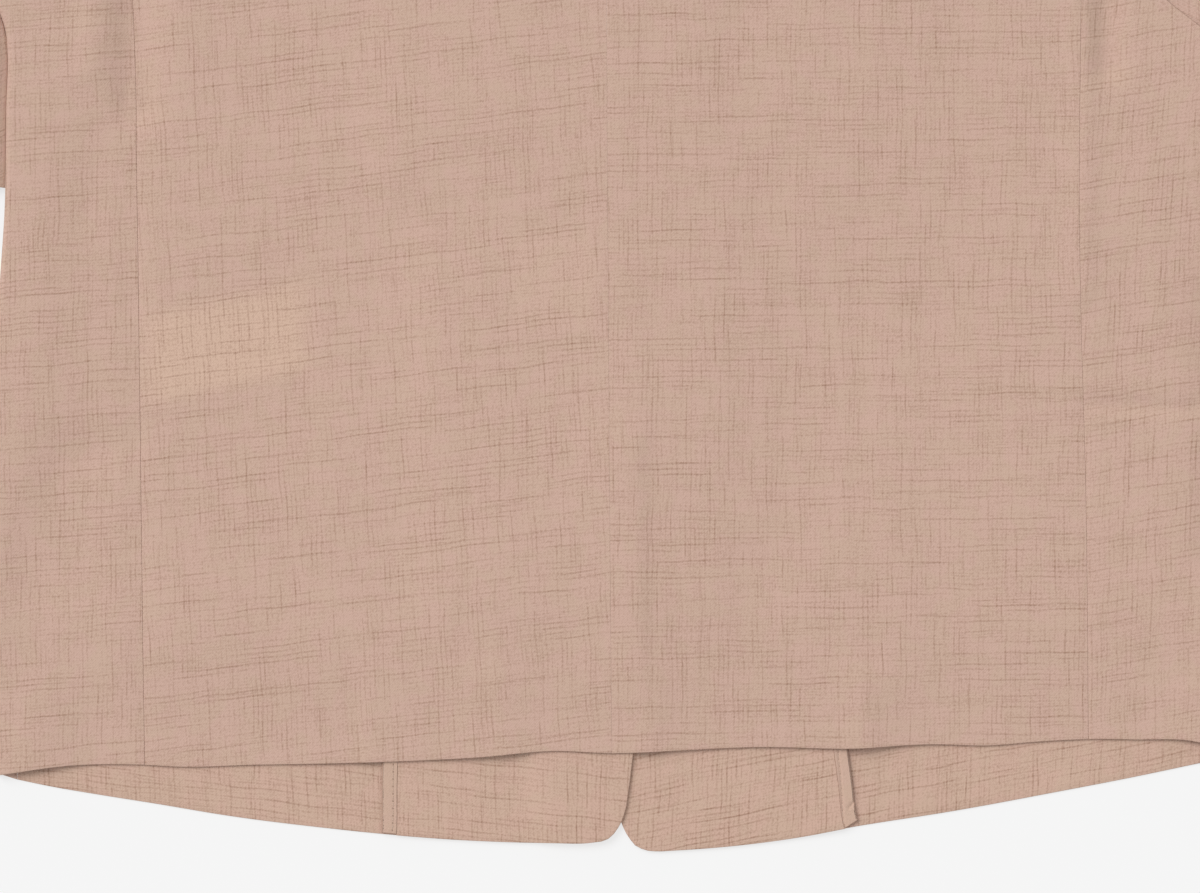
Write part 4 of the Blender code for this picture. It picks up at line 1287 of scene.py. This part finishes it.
def shared_group(name: str, inputs: dict[str, Value],
                 outputs: dict[str, str]) -> tuple[Steps, dict, bpy.types.Node]:
    """Starts a node group.

    Args:
        name: The group's name.
        inputs: The inputs' defaults: a number, a vector of three or a colour of four.
        outputs: The outputs' socket types.

    Returns:
        Its steps, its inputs' sockets by name and its output node.
    """
    tree = bpy.data.node_groups.new(name, "ShaderNodeTree")
    kinds = {0: "NodeSocketFloat", 3: "NodeSocketVector", 4: "NodeSocketColor"}
    for key, value in inputs.items():
        size = len(value) if isinstance(value, tuple) else 0
        made = tree.interface.new_socket(key, in_out="INPUT", socket_type=kinds[size])
        made.default_value = value
    for key, kind in outputs.items():
        tree.interface.new_socket(key, in_out="OUTPUT", socket_type=kind)
    given = tree.nodes.new("NodeGroupInput")
    return Steps(tree), {key: given.outputs[key] for key in inputs}, tree.nodes.new("NodeGroupOutput")


def yarn_group() -> bpy.types.NodeTree:
    """Thick, darker stretches of the yarns that stand out.

    These lie one pitch apart and waver a little. Along each of them runs its own noise, as long as length.
    Below the threshold it shows as a faint soft stripe and above it as a strong one, broken up a little by
    the yarns that it crosses.
    """
    steps, given, result = shared_group(
        "slub_yarns", {"Along": 0.0, "Across": 0.0, "Pitch": 0.0023, "Length": 0.05, "Threshold": 0.55,
                       "Width": 0.3}, {"Slub": "NodeSocketFloat"})
    here = steps.place(given["Along"], given["Across"])
    waver = steps.math("MULTIPLY_ADD", steps.noise(here, 42.0, 1.0), 0.0022, given["Across"])
    yarns = steps.math("DIVIDE", waver, given["Pitch"])
    row = steps.math("FLOOR", yarns)
    off = steps.math("ABSOLUTE", steps.math("SUBTRACT", steps.math("FRACT", yarns), 0.5))
    along = steps.math("DIVIDE", given["Along"], given["Length"])
    along = steps.math("MULTIPLY_ADD", row, 0.371, along)
    own = steps.noise(steps.place(along, steps.math("MULTIPLY", row, 5.13)), 1.0, 2.0)
    faint = steps.step(own, steps.math("SUBTRACT", given["Threshold"], 0.17), given["Threshold"])
    strong = steps.step(own, given["Threshold"], steps.math("ADD", given["Threshold"], 0.14))
    strength = steps.math("MULTIPLY_ADD", strong, 0.6, steps.math("MULTIPLY", faint, 0.4))
    stripe = steps.math("SUBTRACT", 1.0, steps.step(off, 0.02, given["Width"]))
    crossed = steps.math("MULTIPLY_ADD", steps.noise(here, 900.0, 1.0), 0.6, 0.7)
    slub = steps.math("MULTIPLY", steps.math("MULTIPLY", strength, stripe), crossed)
    steps.feed(result, {"Slub": slub})
    return steps.tree


def linen_group(yarns: bpy.types.NodeTree) -> bpy.types.NodeTree:
    """Plain-woven cloth with slubs both ways, mottled, faded where asked, and with painted shade darkening
    the rims of free edges.

    The slub is the sum of stripes along the weft and the warp, and of rarer ones between them. The colour
    goes from the base to the slub's with it and with the mottling: a fine grain, and broad bands and short
    fine streaks both ways. It drifts to the tint over 11 mm wide noise. The height is the plain weave, a
    product of two sines, plus the slubs.
    """
    steps, given, result = shared_group(
        "linen_look", {"Cloth": (0.0, 0.0, 0.0), "Base": (0.6, 0.4, 0.3, 1.0), "Slub": (0.4, 0.25, 0.2, 1.0),
                       "Tint": (0.6, 0.4, 0.3, 1.0), "Faded": (0.6, 0.45, 0.3, 1.0), "Fade": 0.0,
                       "Slubs": 1.0, "Mottle": 0.35, "Turned": 0.0},
        {"Colour": "NodeSocketColor", "Height": "NodeSocketFloat"})
    split = steps.node("SeparateXYZ", {0: given["Cloth"]})
    u, v = split.outputs[0], split.outputs[1]

    def slubs(along: Value, across: Value, *sizes: float) -> Socket:
        """The slubs along one way; sizes are their pitch, length, threshold and width."""
        return steps.node("Group", dict(enumerate((along, across, *sizes))), node_tree=yarns).outputs[0]

    weft = slubs(u, v, 0.00229, 0.046, 0.53, 0.27)
    warp = slubs(v, u, 0.00203, 0.023, 0.53, 0.28)
    between_weft = slubs(u, steps.math("ADD", v, 0.61), 0.00131, 0.030, 0.60, 0.40)
    between_warp = slubs(v, steps.math("ADD", u, 0.29), 0.00117, 0.024, 0.60, 0.40)
    total = steps.math("MULTIPLY_ADD", warp, 0.36, steps.math("MULTIPLY", weft, 0.38))
    total = steps.math("MULTIPLY_ADD", steps.math("ADD", between_weft, between_warp), 0.27, total)
    total = steps.math("MULTIPLY", total, given["Slubs"])
    mottle = steps.math("MULTIPLY", steps.noise(given["Cloth"], 1150.0), 2.2)
    for scale, weight, drawn in ((150.0, 0.4, 0.14), (1300.0, 0.5, 0.25)):
        for x, y in ((steps.math("MULTIPLY", u, drawn), v), (u, steps.math("MULTIPLY", v, drawn))):
            mottle = steps.math("MULTIPLY_ADD", steps.noise(steps.place(x, y), scale, 1.0), weight, mottle)
    mottle = steps.math("MULTIPLY", steps.math("SUBTRACT", mottle, 2.0), given["Mottle"])
    share = steps.node("Clamp", {0: steps.math("ADD", total, mottle), 1: -1.0, 2: 1.0}).outputs[0]
    # Painted shade: the rims of free edges are drawn towards the slub colour, standing in for the shade along
    # turned edges
    share = steps.math("MAXIMUM", share, given["Turned"])
    drift = steps.step(steps.noise(given["Cloth"], 90.0, 1.0), 0.35, 0.65)
    tinted = steps.blend(drift, given["Base"], given["Tint"])
    colour = steps.blend(steps.math("MULTIPLY", given["Fade"], 0.75), tinted, given["Faded"])
    darker = steps.node("Mix", {0: share, 6: colour, 7: given["Slub"]}, data_type="RGBA", clamp_factor=False)
    wave = [steps.math("SINE", steps.math("MULTIPLY", way, 2 * math.pi / 0.0011)) for way in (u, v)]
    weave = steps.math("MULTIPLY", *wave)
    height = steps.math("MULTIPLY_ADD", total, 0.8, steps.math("MULTIPLY", weave, 0.22))
    height = steps.math("MULTIPLY_ADD", steps.noise(given["Cloth"], 1100.0, 1.0), 0.8, height)
    steps.feed(result, {"Colour": darker.outputs[2], "Height": height})
    return steps.tree


@dataclass(frozen=True)
class LinenLook:
    """The jacket's cloth: matt, dry and a little fuzzy, with shade painted onto the rims of its free edges.
    """

    name: str
    base: tuple
    tint: tuple
    slub: tuple
    faded: tuple = linear(213, 182, 161)
    slubs: float = 1.0
    mottle: float = 0.46
    # turned: how strongly shade is painted onto the rims of free edges
    turned: float = 0.35
    relief: float = 0.11 * MM

    def material(self, linen: bpy.types.NodeTree) -> bpy.types.Material:
        """Makes the material, on the UV map Cloth."""
        made, steps, shader = new_material(self.name)
        # The turned mark paints shade onto the rims of free edges
        rim = steps.node("Attribute", attribute_name="turned").outputs["Fac"]
        look = steps.node("Group", {
            "Cloth": steps.node("UVMap", uv_map="Cloth").outputs[0],
            "Fade": steps.node("Attribute", attribute_name="faded").outputs["Fac"],
            "Turned": steps.math("MULTIPLY", rim, self.turned), "Base": self.base, "Tint": self.tint,
            "Slub": self.slub, "Faded": self.faded, "Slubs": self.slubs, "Mottle": self.mottle},
            node_tree=linen)
        bump = steps.node("Bump", {"Height": look.outputs["Height"], "Distance": self.relief,
                                   "Strength": 1.0})
        steps.feed(shader, {"Base Color": look.outputs["Colour"], "Normal": bump.outputs[0], "Roughness": 0.9,
                            "Specular IOR Level": 0.18, "Sheen Weight": 0.08, "Sheen Roughness": 0.6})
        return made


@dataclass(frozen=True)
class Thread:
    """Sewing thread: twisted, with a slight gloss."""

    name: str
    colour: tuple

    def material(self) -> bpy.types.Material:
        """Makes the material: slanting bands 0.25 mm wide across the thread, lighter and darker."""
        made, steps, shader = new_material(self.name)
        place = steps.node("TexCoord").outputs["Object"]
        bands = steps.node("TexWave", {"Vector": place, "Scale": 600.0, "Distortion": 1.0},
                           bands_direction="DIAGONAL").outputs["Fac"]
        dark = tuple(0.75 * c for c in self.colour[:3]) + (1.0,)
        steps.feed(shader, {"Base Color": steps.blend(bands, dark, self.colour), "Roughness": 0.6})
        return made


@dataclass(frozen=True)
class Horn:
    """A polished horn-like button, with darker veins."""

    name: str
    colour: tuple
    vein: tuple

    def material(self) -> bpy.types.Material:
        """Makes the material: stretched noise drawn out into veins between two browns."""
        made, steps, shader = new_material(self.name)
        place = steps.node("TexCoord").outputs["Object"]
        drawn = steps.node("Mapping", {"Vector": place, "Scale": (90.0, 420.0, 90.0)}).outputs[0]
        veins = steps.node("TexNoise", {"Vector": drawn, "Scale": 1.0, "Detail": 4.0, "Distortion": 1.2})
        share = steps.step(veins.outputs[0], 0.35, 0.7)
        steps.feed(shader, {"Base Color": steps.blend(share, self.colour, self.vein),
                            "Roughness": steps.math("MULTIPLY_ADD", veins.outputs[0], 0.15, 0.25)})
        return made


class Finishes:
    """Every finish of the garment, made once."""

    def __init__(self) -> None:
        """Makes the two shared groups and the six materials."""
        linen = linen_group(yarn_group())
        slub = linear(160, 125, 106)
        self.outside = LinenLook("linen_outside", linear(204, 171, 156), linear(202, 172, 154),
                                 slub).material(linen)
        self.inside = LinenLook("linen_inside", linear(205, 172, 155), linear(203, 173, 154), slub,
                                slubs=1.2).material(linen)
        # The tape's rims get strong painted shade: the dark lines along its edges
        self.binding = LinenLook("plain_binding", linear(203, 171, 154), linear(201, 171, 152), slub,
                                 slubs=0.12, mottle=0.25, turned=0.95).material(linen)
        self.thread = Thread("sewing_thread", linear(205, 176, 157)).material()
        # The holes' darker colour is painted shade, standing in for the shade inside the needle holes
        self.needle_hole = Thread("thread_in_needle_hole", linear(172, 141, 122)).material()
        self.horn = Horn("horn_button", linear(128, 98, 76), linear(70, 48, 36)).material()


# ---------------------------------------------------------------- studio


@dataclass
class Studio:
    """A white surface, even soft light from above with a wide key from the upper left, and the camera."""

    framed_width: float = 509.4 * MM
    framed_middle: tuple[float, float] = (-6.34 * MM, -153.43 * MM)
    camera_height: float = 1.8
    sensor: float = 36.0
    sky: float = 0.62
    key: float = 1.75
    key_from: tuple[float, float, float] = (-0.62, 0.66, 0.85)
    key_spread: float = 38.0

    def floor(self) -> None:
        """A white light table 8 m wide, a tenth of a millimetre under the garment."""
        half = 4.0
        points = np.array([(-half, -half), (half, -half), (half, half), (-half, half)])
        points = np.column_stack([points + CENTRE, np.full(4, -0.1 * MM)])
        made = mesh_object("floor", points, np.array([[0, 1, 2, 3]]))
        paper, steps, shader = new_material("white_paper")
        steps.feed(shader, {"Base Color": (0.25, 0.25, 0.25, 1.0), "Emission Color": (1.0, 1.0, 1.0, 1.0),
                            "Roughness": 1.0, "Specular IOR Level": 0.0, "Emission Strength": 0.665})
        made.data.materials.append(paper)

    def light(self) -> None:
        """An even white sky, and a key light that is key_spread degrees wide."""
        scene = bpy.context.scene
        scene.view_settings.view_transform = "Standard"
        world = bpy.data.worlds.new("soft_box")
        world.use_nodes = True
        world.node_tree.nodes["Background"].inputs["Color"].default_value = (1.0, 1.0, 1.0, 1.0)
        world.node_tree.nodes["Background"].inputs["Strength"].default_value = self.sky
        scene.world = world
        lamp = bpy.data.lights.new("key_light", "SUN")
        lamp.energy, lamp.angle = self.key, math.radians(self.key_spread)
        made = bpy.data.objects.new("key_light", lamp)
        made.rotation_euler = Vector(self.key_from).to_track_quat("Z", "Y").to_euler()
        scene.collection.objects.link(made)

    def camera(self) -> None:
        """Looks straight down at the framed part, with its long side along X."""
        lens = bpy.data.cameras.new("camera")
        lens.sensor_width = self.sensor
        lens.lens = self.sensor * self.camera_height / self.framed_width
        made = bpy.data.objects.new("camera", lens)
        made.location = (*self.framed_middle, self.camera_height)
        bpy.context.scene.collection.objects.link(made)
        bpy.context.scene.camera = made


# ---------------------------------------------------------------- the garment

CREASES = (
    Crease((-202, 275), (-201, 350), 8, -2.8, 12), Crease((-203, 190), (-202, 275), 7, -0.6, 8),
    Crease((-212, 262), (-222, 225), 9, -0.5), Crease((-200.5, 10), (-201.5, 190), 5, -0.3, 7),
    Crease((-219, 290), (-217, 350), 8, 1.5), Crease((-186, 285), (-185, 350), 10, 0.3),
    Crease((211, 290), (209, 350), 7, -2.5), Crease((200, 195), (202, 350), 8, 1.0, 6),
    Crease((-204, 130), (-228, 122), 8, -0.6), Crease((-230, 126), (-246, 82), 24, -1.7, 13),
    Crease((-248, 62), (-246, 12), 22, -1.3, 12), Crease((204, 147), (247, 145), 4, -1.0),
    Crease((257, 190), (257, 84), 12, -2.0, 9), Crease((12.5, 5), (10.5, 128), 20, 1.2, 5),
    Crease((10.5, 128), (9, 200), 17, 0.5, 8), Crease((1, 195), (-1, 345), 9, 0.3, 12),
    Crease((-232, 300), (-243, 170), 12, 0.5), Crease((-150, 250), (-60, 262), 22, 0.35),
    Crease((-185, 96), (-95, 60), 18, -0.3), Crease((60, 190), (150, 178), 20, -0.3),
    Crease((90, 80), (175, 104), 19, 0.3), Crease((228, 250), (236, 190), 9, 0.4),
    Crease((-170, 480), (-90, 400), 20, 0.6), Crease((165, 500), (100, 420), 20, 0.6),
    Crease((-120, 350), (-30, 372), 22, -0.4), Crease((40, 360), (130, 345), 20, -0.35))
HEM_LIFTS = (
    Crease((-244, -16), (-242, 22), 16, 1.0), Crease((-49, -12), (-52, 26), 14, 1.1),
    Crease((22, -10), (23, 26), 10, 0.7), Crease((110, -8), (111, 26), 12, 1.3),
    Crease((252, -10), (250, 22), 12, 1.1))
SLEEVE_FOLDS = (
    Crease((-300, 520), (-330, 420), 14, 1.2), Crease((-350, 460), (-372, 350), 12, 1.0),
    Crease((-285, 400), (-320, 300), 11, -0.9), Crease((-340, 330), (-352, 262), 12, 0.9),
    Crease((302, 522), (326, 410), 14, 1.1), Crease((352, 450), (378, 330), 12, 1.1),
    Crease((290, 380), (318, 270), 11, -0.9), Crease((345, 300), (358, 240), 12, 0.8))


def on_floor(x: Array, y: Array) -> Array:
    """The height of the bare surface."""
    return 0.0 * (x + y)


def main() -> None:
    """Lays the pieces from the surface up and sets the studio."""
    logging.basicConfig(level=logging.INFO, format="%(name)s: %(message)s")
    finishes = Finishes()
    pile = Pile()
    CoatButton().lay(pile, finishes)
    collar = Collar(Grain(0.02, shift=(0.11, 3.3)))
    for side in (LEFT, RIGHT):
        pile.lay(collar.end_plan(side), on_floor, DOUBLED)
    fronts = {
        Hand.RIGHT: Front(RIGHT, Grain(0.19, lean=0.03, shift=(1.3, 0.4)),
                          Grain(0.19, lean=0.03, shift=(2.1, 1.7)), Grain(-0.3, lean=0.3, shift=(0.7, 2.2)),
                          facing_lift=0.7 * MM, stitch_in=[(-30.0, 0.4), (-17.0, 1.0), (0.0, 1.75)],
                          furrow=0.45 * MM, tape_end=(2.7, 0.2),
                          tape_creases=(Crease((101.2, -24.4), (103.8, -21.4), 0.5, -0.6),)),
        Hand.LEFT: Front(LEFT, Grain(-0.11, lean=-0.02, shift=(0.2, 1.1)), Grain(-0.11, shift=(1.9, 0.6)),
                         Grain(0.3, lean=-0.3, shift=(2.6, 0.9)), facing_lift=0.3 * MM,
                         stitch_in=[(0.0, 1.9)], furrow=0.05 * MM, tape_end=(0.5, 0.5))}
    for front in fronts.values():
        front.lay(pile, finishes)
    body = BackAndSides(
        CREASES, HEM_LIFTS,
        {Hand.LEFT: Grain(0.12, lean=-0.045, shift=(0.5, 0.9)), Hand.RIGHT: Grain(0.015, shift=(1.6, 2.4))},
        {Hand.LEFT: Grain(0.08, shift=(2.3, 0.2)), Hand.RIGHT: Grain(0.16, curl=0.2, shift=(0.9, 1.5))},
        {Hand.LEFT: 0.6, Hand.RIGHT: 0.3}, {Hand.LEFT: 1.4 * MM, Hand.RIGHT: 0.2 * MM})
    height = body.height_over(pile)
    sleeves = Sleeves({Hand.LEFT: Grain(0.5, shift=(3.1, 0.3)), Hand.RIGHT: Grain(-0.5, shift=(0.4, 3.2))},
                      SLEEVE_FOLDS)
    for side in (LEFT, RIGHT):
        body.lay_back(side, height, pile, finishes)
        body.lay_side(side, height, finishes)
        sleeves.lay(side, fronts[side.hand].arm_line(sleeves.finer), height, finishes)
    collar.lay(pile, finishes)
    studio = Studio()
    studio.floor()
    studio.light()
    studio.camera()
    log.info("all pieces laid")


if __name__ == "__main__":
    main()
